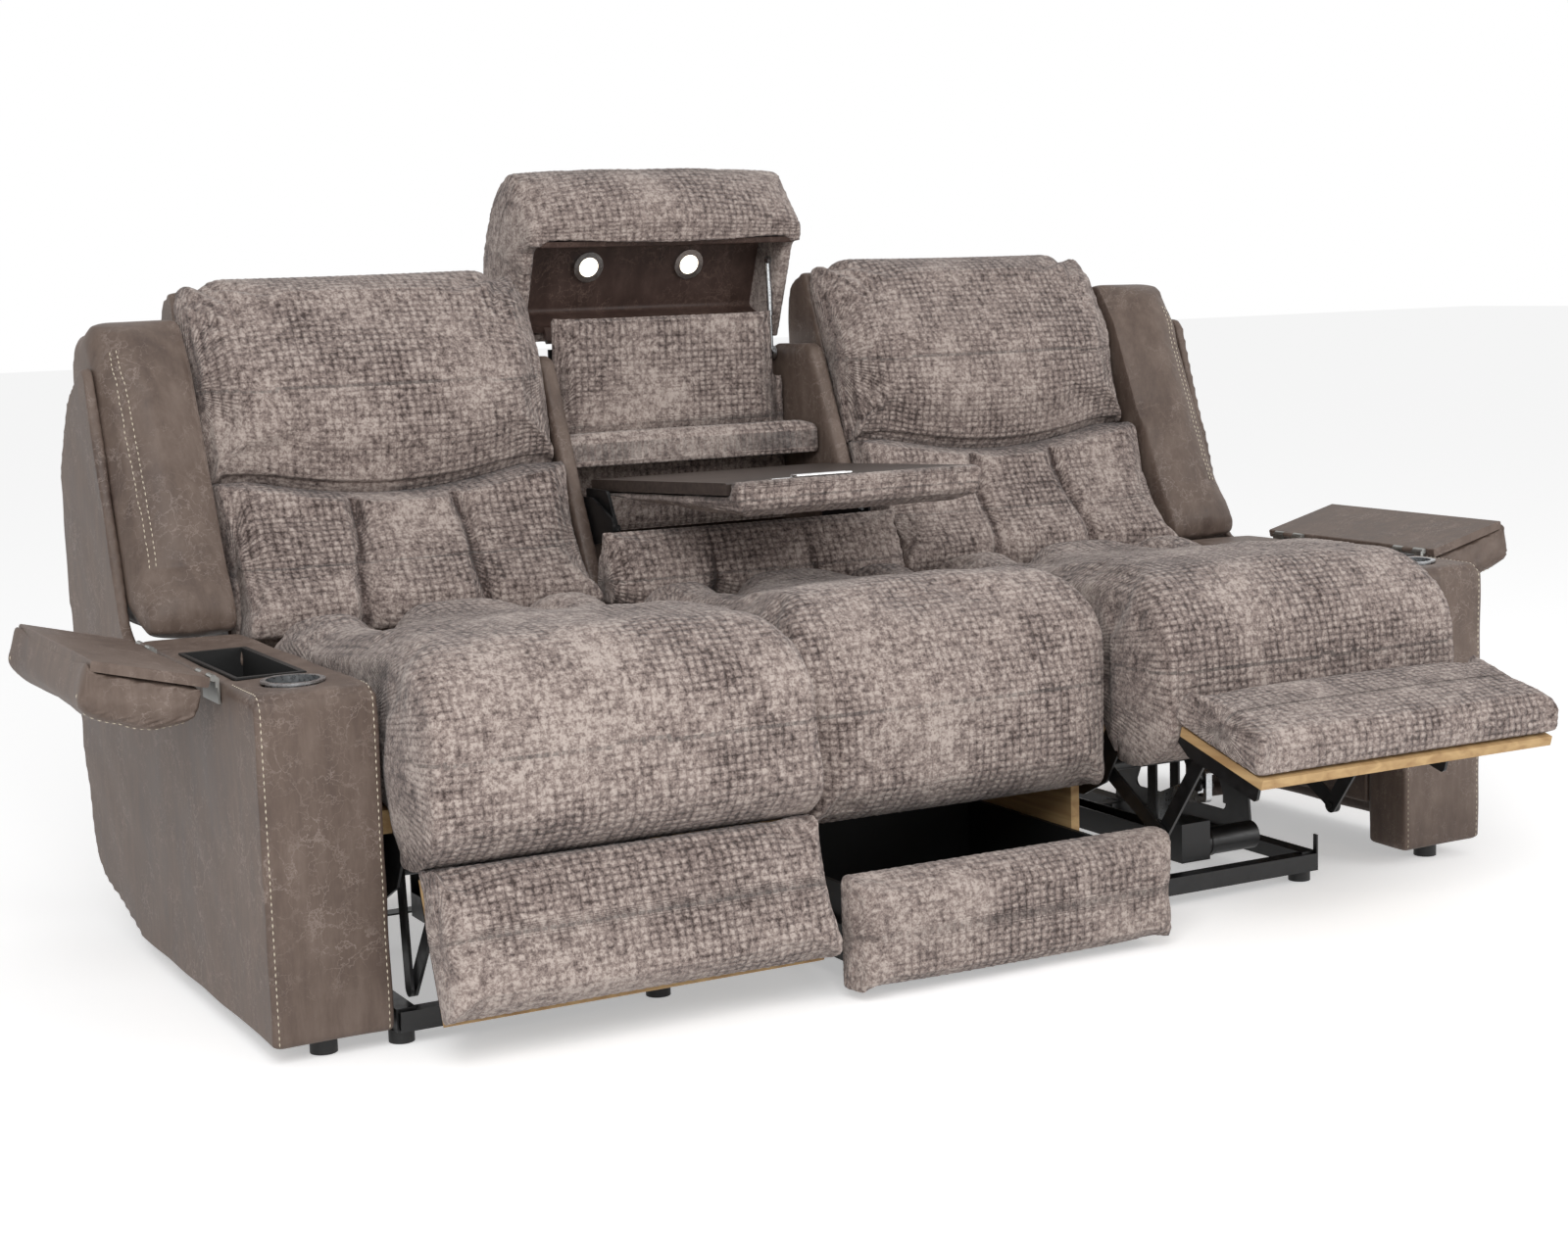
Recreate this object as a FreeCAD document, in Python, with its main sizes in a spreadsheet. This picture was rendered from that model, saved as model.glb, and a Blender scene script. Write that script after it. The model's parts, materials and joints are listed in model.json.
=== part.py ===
import FreeCAD, Part
import math
import os
import re

import Sketcher

# Three-seat power reclining sofa, drawn as it stands in the photograph:
# the left footrest just open, the right one nearly out, the arm lids flipped
# outward, the drawer pulled, the table down and the centre headrest raised.
# +X runs to the viewer's right, the front faces -Y and the floor is Z = 0.
# Depths are given from the plane of the arm fronts, which lies at front_y.

V = FreeCAD.Vector

SIZES = [
    ("half_width", 1120, "outer face of an arm from the middle"),
    ("arm_inner", 940, "inner face of an arm from the middle"),
    ("arm_top", 530, "top of the arms above the floor"),
    ("front_y", -413, "plane of the arm fronts"),
    ("seat_middle", 620, "middle of an end seat from the middle of the sofa"),
    ("seat_half", 314, "half the width of an end seat's cushion"),
    ("centre_half", 297, "half the width of the centre seat's cushion"),
    ("seat_top", 562, "crown of the seat cushions"),
    ("base_left", -716, "middle of the left base frame"),
    ("base_right", 526, "middle of the right base frame"),
    ("left_open", 20, "angle by which the left footrest stands open"),
    ("right_open", 75, "angle by which the right footrest stands open"),
    ("foot_y", -40, "footrest pivot, depth"),
    ("foot_z", 395, "footrest pivot, height"),
    ("nose", 125, "radius of the front roll about the footrest pivot"),
    ("link_y", 70, "lower link pivot, depth"),
    ("link_z", 245, "lower link pivot, height"),
    ("arm_pin_y", 45, "upper link pivot behind the footrest pivot, closed"),
    ("arm_pin_z", -170, "upper link pivot above the footrest pivot, closed"),
    ("crank_y", 41.3, "crank pin behind the lower link pivot, closed"),
    ("crank_z", -43.5, "crank pin above the lower link pivot, closed"),
    ("pin_r", 6, "radius of the linkage pins"),
    ("running", 0.3, "clearance of pins and rollers"),
    ("elbow_play", 0.7, "clearance of the elbow pin"),
    ("yoke_play", 1.8, "clearance of the crank pin in the yoke"),
    ("yoke_reach", 120, "yoke slot ahead of the nut"),
    ("stroke", 0.974, "travel of the nut for each degree of the footrest"),
    ("plate", 5, "thickness of the link plates"),
    ("link_x", 180, "inner face of the lower links from the base middle"),
    ("foot_x", 187, "inner face of the footrest arms from the base middle"),
    ("side_x", 194, "inner face of the carriage sides from the base middle"),
    ("stand_x", 203, "inner face of the stands from the base middle"),
    ("roller_r", 8.5, "radius of the carriage rollers"),
    ("roller_z", 205, "height of the carriage rollers"),
    ("back_y", 715, "back pivot, depth"),
    ("back_z", 420, "back pivot, height"),
    ("lid_x", 1128, "hinge of the arm lids from the middle"),
    ("lid_z", 535, "hinge of the arm lids above the floor"),
    ("lid_tilt", 14, "rise of an open arm lid toward its edge"),
    ("lid_reach", 182, "width of an arm lid from its hinge"),
    ("bin_front", 160, "front of the storage bins"),
    ("bin_back", 450, "back of the storage bins"),
    ("bin_inner", 1000, "inner side of the bins from the middle"),
    ("bin_outer", 1096, "outer side of the bins from the middle"),
    ("bin_floor", 300, "underside of the bins"),
    ("wall", 3, "wall of the bins"),
    ("cup_x", 1033, "middle of the cup holders from the middle"),
    ("cup_y", 95, "middle of the cup holders, depth"),
    ("cup_r", 40, "outer radius of the cups"),
    ("table_y", 700, "table pivot, depth"),
    ("table_z", 640, "table pivot, height"),
    ("table_half", 238, "half the width of the table"),
    ("table_rise", 2.75, "slope of the table when it is down"),
    ("rest_y", 1067, "headrest hinge, depth"),
    ("rest_z", 962, "headrest hinge, height"),
    ("rest_open", 68, "angle by which the centre headrest stands open"),
    ("rest_half", 298, "half the width of the centre headrest"),
    ("drawer_out", 175, "travel by which the drawer stands open"),
    ("drawer_half", 250, "half the width of the drawer's box"),
    ("box_side", 268, "inner face of the centre box from the middle"),
    ("rear_in", 1052, "inner face of the centre back's rear panel, depth"),
    ("cheek", 262, "inner face of the centre back's cheeks"),
]

doc = FreeCAD.newDocument("ReclinerSofa")
sheet = doc.addObject("Spreadsheet::Sheet", "Sizes")
NAMES = set()
for row, (alias, number, meaning) in enumerate(SIZES, start=1):
    sheet.set(f"A{row}", meaning)
    sheet.set(f"B{row}", str(number))
    sheet.setAlias(f"B{row}", alias)
    NAMES.add(alias)
doc.recompute()

WORD = re.compile(r"[a-z_][a-z0-9_]*")


def bound(text):
    return WORD.sub(lambda m: "Sizes." + m.group(0) if m.group(0) in NAMES else m.group(0), str(text))


def number(text):
    return float(sheet.evalExpression(bound(text)))


def bind(thing, prop, text):
    thing.setExpression(prop, bound(text))


def turned(y, z, angle):
    # Place of a point after the part has swung forward and up by the angle.
    across = f"(({y}) * cos({angle}) + ({z}) * sin({angle}))"
    height = f"(({z}) * cos({angle}) - ({y}) * sin({angle}))"
    return across, height


def round_corner(before, corner, after, radius):
    a = (before - corner).normalize()
    b = (after - corner).normalize()
    half = math.acos(max(-1.0, min(1.0, a.dot(b)))) / 2
    reach = radius / math.tan(half)
    middle = corner + (a + b).normalize() * (radius / math.sin(half))
    return corner + a * reach, corner + b * reach, middle, a.cross(b).z < 0


def outline(sketch, corners):
    # A closed outline of lines and tangent arcs; each corner is (u, v, radius).
    count = len(corners)
    points = [V(number(u), number(v), 0) for u, v, r in corners]
    radii = [number(r) for u, v, r in corners]
    ends = []
    for i in range(count):
        if radii[i] > 0:
            ends.append(round_corner(points[i - 1], points[i], points[(i + 1) % count], radii[i]))
        else:
            ends.append((points[i], points[i], None, True))
    for i in range(count):
        line = Part.LineSegment(ends[i][1], ends[(i + 1) % count][0])
        sketch.addGeometry(line, False)
    rules = []
    names = {}
    for i in range(count):
        before = (i - 1) % count
        u, v, r = corners[i]
        if radii[i] <= 0:
            rules.append(Sketcher.Constraint("Coincident", before, 2, i, 1))
            where = (i, 1)
        else:
            first, second, middle, left = ends[i]
            begin = first if left else second
            finish = second if left else first
            start = math.atan2(begin.y - middle.y, begin.x - middle.x)
            stop = math.atan2(finish.y - middle.y, finish.x - middle.x)
            circle = Part.Circle(middle, V(0, 0, 1), radii[i])
            arc = sketch.addGeometry(Part.ArcOfCircle(circle, start, stop), False)
            rules.append(Sketcher.Constraint("Tangent", before, 2, arc, 1 if left else 2))
            rules.append(Sketcher.Constraint("Tangent", i, 1, arc, 2 if left else 1))
            names[len(rules)] = r
            rules.append(Sketcher.Constraint("Radius", arc, radii[i]))
            dot = sketch.addGeometry(Part.Point(points[i]), True)
            rules.append(Sketcher.Constraint("PointOnObject", dot, 1, before))
            rules.append(Sketcher.Constraint("PointOnObject", dot, 1, i))
            where = (dot, 1)
        names[len(rules)] = u
        rules.append(Sketcher.Constraint("DistanceX", -1, 1, where[0], where[1], points[i].x))
        names[len(rules)] = v
        rules.append(Sketcher.Constraint("DistanceY", -1, 1, where[0], where[1], points[i].y))
    sketch.addConstraint(rules)
    for index, text in names.items():
        if WORD.search(str(text)):
            bind(sketch, f"Constraints[{index}]", text)


PLANES = {"side": "YZ_Plane", "front": "XZ_Plane", "top": "XY_Plane"}
AXES = {"side": V(1, 0, 0), "front": V(0, 1, 0), "top": V(0, 0, 1)}
made = {}


def prism(name, plane, corners, start, depth, pivot=("0", "0"), angle="0", soft=0):
    # An outline drawn out along its normal, with softened end faces if wanted.
    body = doc.addObject("PartDesign::Body", name)
    role = PLANES[plane]
    base = [f for f in body.Origin.OriginFeatures if f.Role == role][0]
    sketch = body.newObject("Sketcher::SketchObject", name + "_outline")
    sketch.AttachmentSupport = [(base, "")]
    sketch.MapMode = "FlatFace"
    outline(sketch, corners)
    pad = body.newObject("PartDesign::Pad", name + "_pad")
    pad.Profile = sketch
    pad.Reversed = plane == "front"
    bind(pad, "Length", depth)
    body.Tip = pad
    if soft:
        doc.recompute()
        normal = AXES[plane]
        flat = []
        for k, face in enumerate(pad.Shape.Faces, start=1):
            if face.Surface.TypeId == "Part::GeomPlane" and abs(face.normalAt(0, 0).dot(normal)) > 0.999:
                flat.append(f"Face{k}")
        edge = body.newObject("PartDesign::Fillet", name + "_softening")
        edge.Base = (pad, flat)
        edge.Radius = soft
        body.Tip = edge
    if plane == "side":
        spot = (start, f"front_y + ({pivot[0]})", pivot[1])
    elif plane == "front":
        spot = (pivot[0], f"front_y + ({start})", pivot[1])
    else:
        spot = (pivot[0], f"front_y + ({pivot[1]})", start)
    for letter, text in zip("xyz", spot):
        bind(body, "Placement.Base." + letter, text)
    if angle != "0":
        bind(body, "Placement.Rotation.Angle", angle)
        body.Placement.Rotation.Axis = AXES[plane]
        bind(body, "Placement.Rotation.Angle", angle)
    made[name] = body
    return body


def block(name, x, y, z, width, depth, height):
    thing = doc.addObject("Part::Box", name)
    bind(thing, "Length", width)
    bind(thing, "Width", depth)
    bind(thing, "Height", height)
    bind(thing, "Placement.Base.x", x)
    bind(thing, "Placement.Base.y", f"front_y + ({y})")
    bind(thing, "Placement.Base.z", z)
    made[name] = thing
    return thing


def rod(name, x, y, z, radius, length, axis="x"):
    thing = doc.addObject("Part::Cylinder", name)
    bind(thing, "Radius", radius)
    bind(thing, "Height", length)
    if axis == "x":
        thing.Placement.Rotation = FreeCAD.Rotation(V(0, 1, 0), 90)
    elif axis == "y":
        thing.Placement.Rotation = FreeCAD.Rotation(V(1, 0, 0), -90)
    bind(thing, "Placement.Base.x", x)
    bind(thing, "Placement.Base.y", f"front_y + ({y})")
    bind(thing, "Placement.Base.z", z)
    made[name] = thing
    return thing


def join(name, pieces):
    thing = doc.addObject("Part::MultiFuse", name)
    thing.Shapes = pieces
    thing.Refine = True
    made[name] = thing
    return thing


def cut(name, base, tools):
    tool = tools[0]
    if len(tools) > 1:
        tool = doc.addObject("Part::MultiFuse", name + "_tools")
        tool.Shapes = tools
    thing = doc.addObject("Part::Cut", name)
    thing.Base = base
    thing.Tool = tool
    made[name] = thing
    return thing


def group(name, pieces):
    thing = doc.addObject("Part::Compound", name)
    thing.Links = pieces
    made[name] = thing
    return thing


def mirror(name, source):
    thing = doc.addObject("Part::Mirroring", name)
    thing.Source = source
    thing.Normal = V(1, 0, 0)
    thing.Base = V(0, 0, 0)
    made[name] = thing
    return thing


NODES = []


def node(name, thing):
    thing.Label = name
    NODES.append(thing)


# Arms: a padded post, a top cover and an outer panel that rises behind as a wing.

panel = prism("arm_panel", "side", [
    ("0", "25", "6"), ("700", "25", "180"), ("1000", "95", "110"), ("1055", "300", "180"),
    ("1085", "540", "120"), ("1092", "760", "80"), ("1005", "900", "70"), ("872", "968", "24"),
    ("720", "arm_top", "60"), ("650", "arm_top - 18", "20"), ("0", "arm_top - 18", "0"),
], "half_width - 20", "20")
post = prism("arm_post", "front", [
    ("arm_inner", "25", "4"), ("half_width", "25", "4"), ("half_width", "arm_top", "16"),
    ("arm_inner", "arm_top", "16"),
], "0", "100")
cover = prism("arm_cover", "front", [
    ("arm_inner", "arm_top - 30", "0"), ("half_width", "arm_top - 30", "0"),
    ("half_width", "arm_top", "16"), ("arm_inner", "arm_top", "16"),
], "90", "550")
cup_block = block("cup_block", "arm_inner + 18", "90", "arm_top - 110", "140", "60", "90")
floor_board = block("arm_floor", "arm_inner", "560", "25", "half_width - arm_inner - 10", "80", "30")
arm_solid = join("arm_solid", [panel, post, cover, cup_block, floor_board])
bin_hole = block("bin_hole", "bin_inner", "bin_front", "arm_top - 60", "bin_outer - bin_inner",
                 "bin_back - bin_front", "100")
cup_hole = rod("cup_hole", "cup_x", "cup_y", "arm_top - 92", "cup_r", "200", "z")
arm_right = cut("arm_shell_right_form", arm_solid, [bin_hole, cup_hole])
node("arm_shells", group("arm_pair", [arm_right, mirror("arm_shell_left_form", arm_right)]))

inner_panel = prism("inner_panel", "side", [
    ("100", "95", "0"), ("960", "95", "30"), ("1000", "330", "20"), ("640", "330", "0"),
    ("640", "arm_top - 30", "0"), ("100", "arm_top - 30", "0"),
], "arm_inner", "18")
panel_lip = block("panel_lip", "arm_inner", "560", "55", "18", "80", "40")
switch_bed = block("switch_bed", "arm_inner - 1", "183", "460", "9", "44", "30")
inner_form = cut("inner_form", join("inner_solid", [inner_panel, panel_lip]), [switch_bed])
node("arm_side_panels", group("arm_side_pair", [inner_form, mirror("inner_form_left", inner_form)]))

bin_out = block("bin_out", "bin_inner", "bin_front", "bin_floor", "bin_outer - bin_inner",
                "bin_back - bin_front", "arm_top - bin_floor")
bin_rim = block("bin_rim", "bin_inner - 6", "bin_front - 6", "arm_top", "bin_outer - bin_inner + 9",
                "bin_back - bin_front + 12", "2.5")
bin_in = block("bin_in", "bin_inner + wall", "bin_front + wall", "bin_floor + wall",
               "bin_outer - bin_inner - 2 * wall", "bin_back - bin_front - 2 * wall", "300")
bin_right = cut("bin_right", join("bin_body", [bin_out, bin_rim]), [bin_in])
node("storage_bins", group("bin_pair", [bin_right, mirror("bin_left", bin_right)]))

cup_out = rod("cup_out", "cup_x", "cup_y", "arm_top - 92", "cup_r", "92", "z")
cup_rim = rod("cup_rim", "cup_x", "cup_y", "arm_top", "cup_r + 6", "3", "z")
cup_in = rod("cup_in", "cup_x", "cup_y", "arm_top - 90", "cup_r - 2", "200", "z")
cup_right = cut("cup_right", join("cup_body", [cup_out, cup_rim]), [cup_in])
node("cup_holders", group("cup_pair", [cup_right, mirror("cup_left", cup_right)]))

hinge_parts = []
for k, spot in enumerate((200, 540)):
    leaf = block(f"hinge_leaf{k}", "half_width", f"{spot - 40}", "lid_z - 38", "3", "80", "26")
    ears = []
    for m, side in enumerate((-40, 14)):
        ear = block(f"hinge_ear{k}{m}", "half_width", f"{spot + side}", "lid_z - 14", "6", "26", "14")
        barrel = rod(f"hinge_barrel{k}{m}", "lid_x", f"{spot + side}", "lid_z", "5", "26", "y")
        ears.extend([ear, barrel])
    pin = rod(f"hinge_pin{k}", "lid_x", f"{spot - 40}", "lid_z", "2.2", "80", "y")
    hinge_parts.append(join(f"hinge{k}", [leaf, pin] + ears))
hinges_right = group("hinges_right", hinge_parts)
node("lid_hinges", group("hinges_all", [hinges_right, mirror("hinges_left", hinges_right)]))

# Lids of the arms, drawn open about their hinges.

lid_board = prism("lid_board_form", "front", [
    ("9", "-13.5", "3"), ("lid_reach - 4", "-13.5", "3"), ("lid_reach - 4", "1.5", "3"), ("9", "1.5", "3"),
], "145", "467", ("lid_x", "lid_z"), "-lid_tilt")
lid_parts = [lid_board]
for k, spot in enumerate((200, 540)):
    lid_parts.append(rod(f"lid_knuckle{k}", "lid_x", f"{spot - 13.6}", "lid_z", "5", "27.2", "y"))
    lid_parts.append(prism(f"lid_tongue{k}", "front", [
        ("0", "-1.5", "0"), ("12", "-1.5", "0"), ("12", "1.5", "0"), ("0", "1.5", "0"),
    ], f"{spot - 13.6}", "27.2", ("lid_x", "lid_z"), "-lid_tilt"))
bores = [rod(f"lid_bore{k}", "lid_x", f"{spot - 20}", "lid_z", "2.2 + running", "40", "y")
         for k, spot in enumerate((200, 540))]
lid_right = cut("lid_right_form", join("lid_solid", lid_parts), bores)
node("arm_lid_board_right", lid_right)
node("arm_lid_board_left", mirror("lid_left_form", lid_right))
lid_pad = prism("lid_pad_form", "front", [
    ("11", "-13.5", "4"), ("14", "-64", "20"), ("90", "-74", "120"), ("lid_reach", "-64", "24"),
    ("lid_reach", "-13.5", "6"),
], "143", "471", ("lid_x", "lid_z"), "-lid_tilt", 4)
node("arm_lid_pad_right", lid_pad)
node("arm_lid_pad_left", mirror("lid_pad_left_form", lid_pad))

# Rocker switches let into the inner sides of the arms.

switch_case = block("switch_case", "arm_inner - 2", "183", "460", "10", "44", "30")
switch_hole = block("switch_hole", "arm_inner - 3", "186", "463.5", "9", "38", "23")
switch_pin = rod("switch_pin", "arm_inner + 0.5", "205", "462", "1.4", "26", "z")
case_right = join("case_right", [cut("case_open", switch_case, [switch_hole]), switch_pin])
node("switch_plates", group("case_pair", [case_right, mirror("case_left", case_right)]))
rocker_form = prism("rocker_form", "top", [
    ("-2.5", "-17", "1"), ("3", "-17", "1"), ("5.3", "0", "0"), ("3", "17", "1"), ("-2.5", "17", "1"),
    ("-1.6", "0", "0"),
], "464", "22", ("arm_inner + 0.5", "205"))
rocker_bore = rod("rocker_bore", "arm_inner + 0.5", "205", "460", "1.4 + running", "30", "z")
rocker_right = cut("rocker_right_form", rocker_form, [rocker_bore])
node("switch_rocker_right", rocker_right)
node("switch_rocker_left", mirror("rocker_left_form", rocker_right))


# Base frames of folded steel; they stand toward -X of their seats.

def both_sides(base, near, width):
    # Where a plate lies on each side of the middle of a base frame.
    return (f"{base} + {near}", f"{base} - ({near}) - ({width})")


def base_frame(tag, base):
    parts = []
    for k, x in enumerate(both_sides(base, "190", "30")):
        parts.append(block(f"rail_flange_{tag}{k}", x, "10", "52", "30", "870", "3"))
    for k, x in enumerate(both_sides(base, "217", "3")):
        parts.append(block(f"rail_web_{tag}{k}", x, "10", "20", "3", "870", "35"))
    parts.append(block(f"front_bar_top_{tag}", f"{base} - 217", "0", "49", "434", "28", "3"))
    parts.append(block(f"front_bar_face_{tag}", f"{base} - 217", "0", "22", "434", "3", "30"))
    parts.append(block(f"front_bar_end_{tag}", f"{base} + 214", "0", "49", "3", "9.5", "36"))
    parts.append(block(f"rear_bar_{tag}", f"{base} - 217", "545", "49", "434", "30", "3"))
    for k, x in enumerate(both_sides(base, "stand_x", "4")):
        stand = prism(f"stand_{tag}{k}", "side", [
            ("165", "54", "0"), ("575", "54", "0"), ("560", "roller_z + 28", "16"),
            ("185", "roller_z + 28", "16"),
        ], x, "4")
        slot = prism(f"stand_slot_{tag}{k}", "side", [
            ("196", "roller_z - roller_r - running", "8"), ("545", "roller_z - roller_r - running", "8"),
            ("545", "roller_z + roller_r + running", "8"), ("196", "roller_z + roller_r + running", "8"),
        ], f"{x} - 5", "14")
        window = prism(f"stand_window_{tag}{k}", "side", [
            ("230", "88", "12"), ("515", "88", "12"), ("480", "160", "12"), ("265", "160", "12"),
        ], f"{x} - 5", "14")
        parts.append(cut(f"stand_open_{tag}{k}", stand, [slot, window]))
    return join(f"base_frame_{tag}", parts)


node("recliner_bases", group("base_pair", [base_frame("l", "base_left"), base_frame("r", "base_right")]))

feet = []
for tag, base in (("l", "base_left"), ("r", "base_right")):
    for k, x in enumerate((f"{base} - 205", f"{base} + 205")):
        for m, y in enumerate((36, 600)):
            disc = rod(f"glide_{tag}{k}{m}", x, f"{y}", "0", "19", "20", "z")
            stem = rod(f"stem_{tag}{k}{m}", x, f"{y}", "20", "6", "32", "z")
            feet.append(join(f"foot_{tag}{k}{m}", [disc, stem]))
for k, x in enumerate(("cup_x", "-cup_x")):
    for m, y in enumerate((50, 600)):
        feet.append(rod(f"arm_foot{k}{m}", x, f"{y}", "0", "20", "25", "z"))
for k, x in enumerate(("box_side + 8", "-box_side - 8")):
    for m, y in enumerate((100, 780)):
        feet.append(rod(f"box_foot{k}{m}", x, f"{y}", "0", "8", "20", "z"))
node("glide_feet", group("feet", feet))

# Centre seat: a wooden box that carries the cushion and houses the drawer.

box_right = prism("box_right", "side", [
    ("60", "20", "0"), ("850", "20", "0"), ("850", "145", "0"), ("rear_in", "145", "0"), ("rear_in", "470", "0"),
    ("700", "470", "20"), ("645", "330", "0"), ("60", "330", "0"),
], "box_side", "16")
deck = block("deck", "-box_side", "60", "312", "2 * box_side", "580", "18")
apron = block("apron", "-box_side", "60", "240", "2 * box_side", "18", "72")
beam = block("beam", "-arm_inner", "850", "55", "2 * arm_inner", "50", "90")
node("centre_frame", join("centre_box", [box_right, mirror("box_left", box_right), deck, apron, beam]))

node("centre_seat_cushion", prism("centre_cushion", "side", [
    ("-42", "222", "30"), ("58", "222", "14"), ("58", "330", "0"), ("640", "330", "0"),
    ("652", "488", "20"), ("560", "500", "90"), ("120", "seat_top + 6", "200"), ("-42", "seat_top", "96"),
], "-centre_half", "2 * centre_half", soft=12))

channel = prism("channel_form", "front", [
    ("drawer_half + 4", "80", "0"), ("box_side", "80", "0"), ("box_side", "104", "0"),
    ("drawer_half + 4", "104", "0"), ("drawer_half + 4", "101", "0"), ("box_side - 3", "101", "0"),
    ("box_side - 3", "83", "0"), ("drawer_half + 4", "83", "0"),
], "60", "500")
node("drawer_runners", group("channels", [channel, mirror("channel_left", channel)]))

drawer_out_form = block("drawer_out_form", "-drawer_half", "40 - drawer_out", "36", "2 * drawer_half", "480", "120")
drawer_in = block("drawer_in", "-drawer_half + 8", "48 - drawer_out", "44", "2 * drawer_half - 16", "464", "200")
slides = [block(f"drawer_slide{k}", x, "60 - drawer_out", "83.5", "14.5", "440", "17")
          for k, x in enumerate(("drawer_half", "-drawer_half - 14.5"))]
node("drawer_box", join("drawer_body", [cut("drawer_open", drawer_out_form, [drawer_in])] + slides))
node("drawer_front", prism("drawer_face", "side", [
    ("-22", "8", "18"), ("40", "8", "9"), ("40", "194", "9"), ("-22", "194", "22"),
], "-290", "580", ("-drawer_out", "0"), soft=8))

# Centre back: a shell of two cheeks and a rear panel, with ledge and inner panel.

cheek_right = prism("cheek_right", "side", [
    ("700", "470", "0"), ("rear_in", "470", "0"), ("rear_in", "940", "0"), ("905", "940", "24"), ("700", "500", "12"),
], "cheek", "centre_half - cheek")
rear_panel = block("rear_panel", "-centre_half", "rear_in", "145", "2 * centre_half", "7", "790")
node("centre_back_shell", join("centre_shell", [cheek_right, mirror("cheek_left", cheek_right), rear_panel]))
node("centre_ledge", prism("ledge", "side", [
    ("868", "742", "12"), ("998", "742", "0"), ("998", "776", "0"), ("868", "776", "15"),
], "-cheek", "2 * cheek"))
carrier = block("carrier", "-cheek", "998", "600", "2 * cheek", "14", "280")
inner_pad = prism("inner_pad", "side", [
    ("982", "776", "0"), ("998", "776", "0"), ("998", "1008", "8"), ("982", "1008", "7"),
], "-cheek + 30", "2 * cheek - 60")
node("centre_back_panel", join("centre_panel", [carrier, inner_pad]))
node("lumbar_flap", prism("flap", "side", [
    ("612", "522", "9"), ("620", "505", "8"), ("654", "504", "6"), ("664", "476", "8"), ("700", "476", "0"),
    ("700", "490", "3"),
    ("687", "508", "10"), ("684", "588", "8"), ("668", "606", "8"), ("668", "640", "8"), ("650", "650", "9"),
], "-centre_half", "2 * centre_half"))

table_bracket = prism("table_bracket", "side", [
    ("780", "604", "10"), ("860", "604", "4"), ("860", "690", "4"), ("770", "690", "12"),
    ("682", "656", "15"), ("686", "622", "15"),
], "cheek - 5", "5")
table_pin = rod("table_pin", "cheek - 20", "table_y", "table_z", "pin_r", "16", "x")
bracket_right = join("bracket_right", [table_bracket, table_pin])
rest_leaf = block("rest_leaf", "150", "rear_in + 7", "rest_z - 62", "60", "3", "46")
rest_ear = block("rest_ear", "150", "rear_in + 7", "rest_z - 20", "20", "8", "20")
rest_barrel = rod("rest_barrel", "150", "rest_y", "rest_z", "6", "20", "x")
rest_pin = rod("rest_pin", "150", "rest_y", "rest_z", "2.5", "60", "x")
hinge_right = join("rest_hinge_right", [rest_leaf, rest_ear, rest_barrel, rest_pin])
strut_stud = rod("strut_stud", "cheek - 17", "1033", "922", "3", "17", "x")
node("centre_brackets", group("brackets", [
    bracket_right, mirror("bracket_left", bracket_right),
    hinge_right, mirror("rest_hinge_left", hinge_right), strut_stud,
]))

# Table on bent levers; it is drawn down, sloping up a little to the front.

TABLE = ("table_y", "table_z")
node("table_tray", prism("tray", "side", [
    ("-416", "64", "0"), ("118", "64", "0"), ("118", "84", "3"), ("-416", "84", "3"),
], "-table_half", "2 * table_half", TABLE, "-table_rise"))
node("table_pad", prism("table_padding", "side", [
    ("-452", "30", "22"), ("-380", "30", "200"), ("112", "54", "5"), ("112", "64", "0"),
    ("-416", "64", "0"), ("-416", "88", "6"), ("-452", "88", "14"),
], "-table_half", "2 * table_half", TABLE, "-table_rise"))
lever = prism("lever_form", "side", [
    ("-13", "-12", "10"), ("12", "-13", "10"), ("42", "38", "14"), ("112", "50", "6"), ("112", "70", "6"),
    ("24", "66", "16"),
], "table_half + 8", "6", TABLE, "-table_rise")
lever_bore = rod("lever_bore", "table_half", "table_y", "table_z", "pin_r + running", "30", "x")
lever_tab = prism("lever_tab", "side", [
    ("78", "56", "0"), ("108", "56", "0"), ("108", "64", "0"), ("78", "64", "0"),
], "table_half", "11", TABLE, "-table_rise")
lever_right = join("lever_right", [cut("lever_open", lever, [lever_bore]), lever_tab])
node("table_levers", group("levers", [lever_right, mirror("lever_left", lever_right)]))

# Centre headrest: a padded cap over a lined recess, drawn raised on its hinge.

REST = ("rest_y", "rest_z")
cap = prism("cap", "side", [
    ("-222", "-47", "8"), ("-268", "38", "60"), ("-298", "98", "44"), ("-237", "160", "50"),
    ("-150", "186", "80"), ("-50", "178", "60"), ("14", "128", "40"), ("18", "20", "8"), ("12", "-14", "4"),
    ("-188", "-15", "4"), ("-203", "-47", "4"),
], "-rest_half", "2 * rest_half", REST, "-rest_open", 14)
recess = prism("recess", "side", [
    ("-211", "-70", "0"), ("-211", "-37", "0"), ("-178", "52", "0"), ("-171", "91", "0"), ("-10", "91", "0"),
    ("-10", "-70", "0"),
], "-cheek", "2 * cheek", REST, "-rest_open")
lip_gap = prism("hinge_gap", "side", [
    ("-12", "-30", "0"), ("30", "-30", "0"), ("30", "23", "0"), ("-12", "23", "0"),
], "-cheek", "2 * cheek", REST, "-rest_open")
node("rest_pad", cut("rest_pad_form", cap, [recess, lip_gap]))
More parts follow.
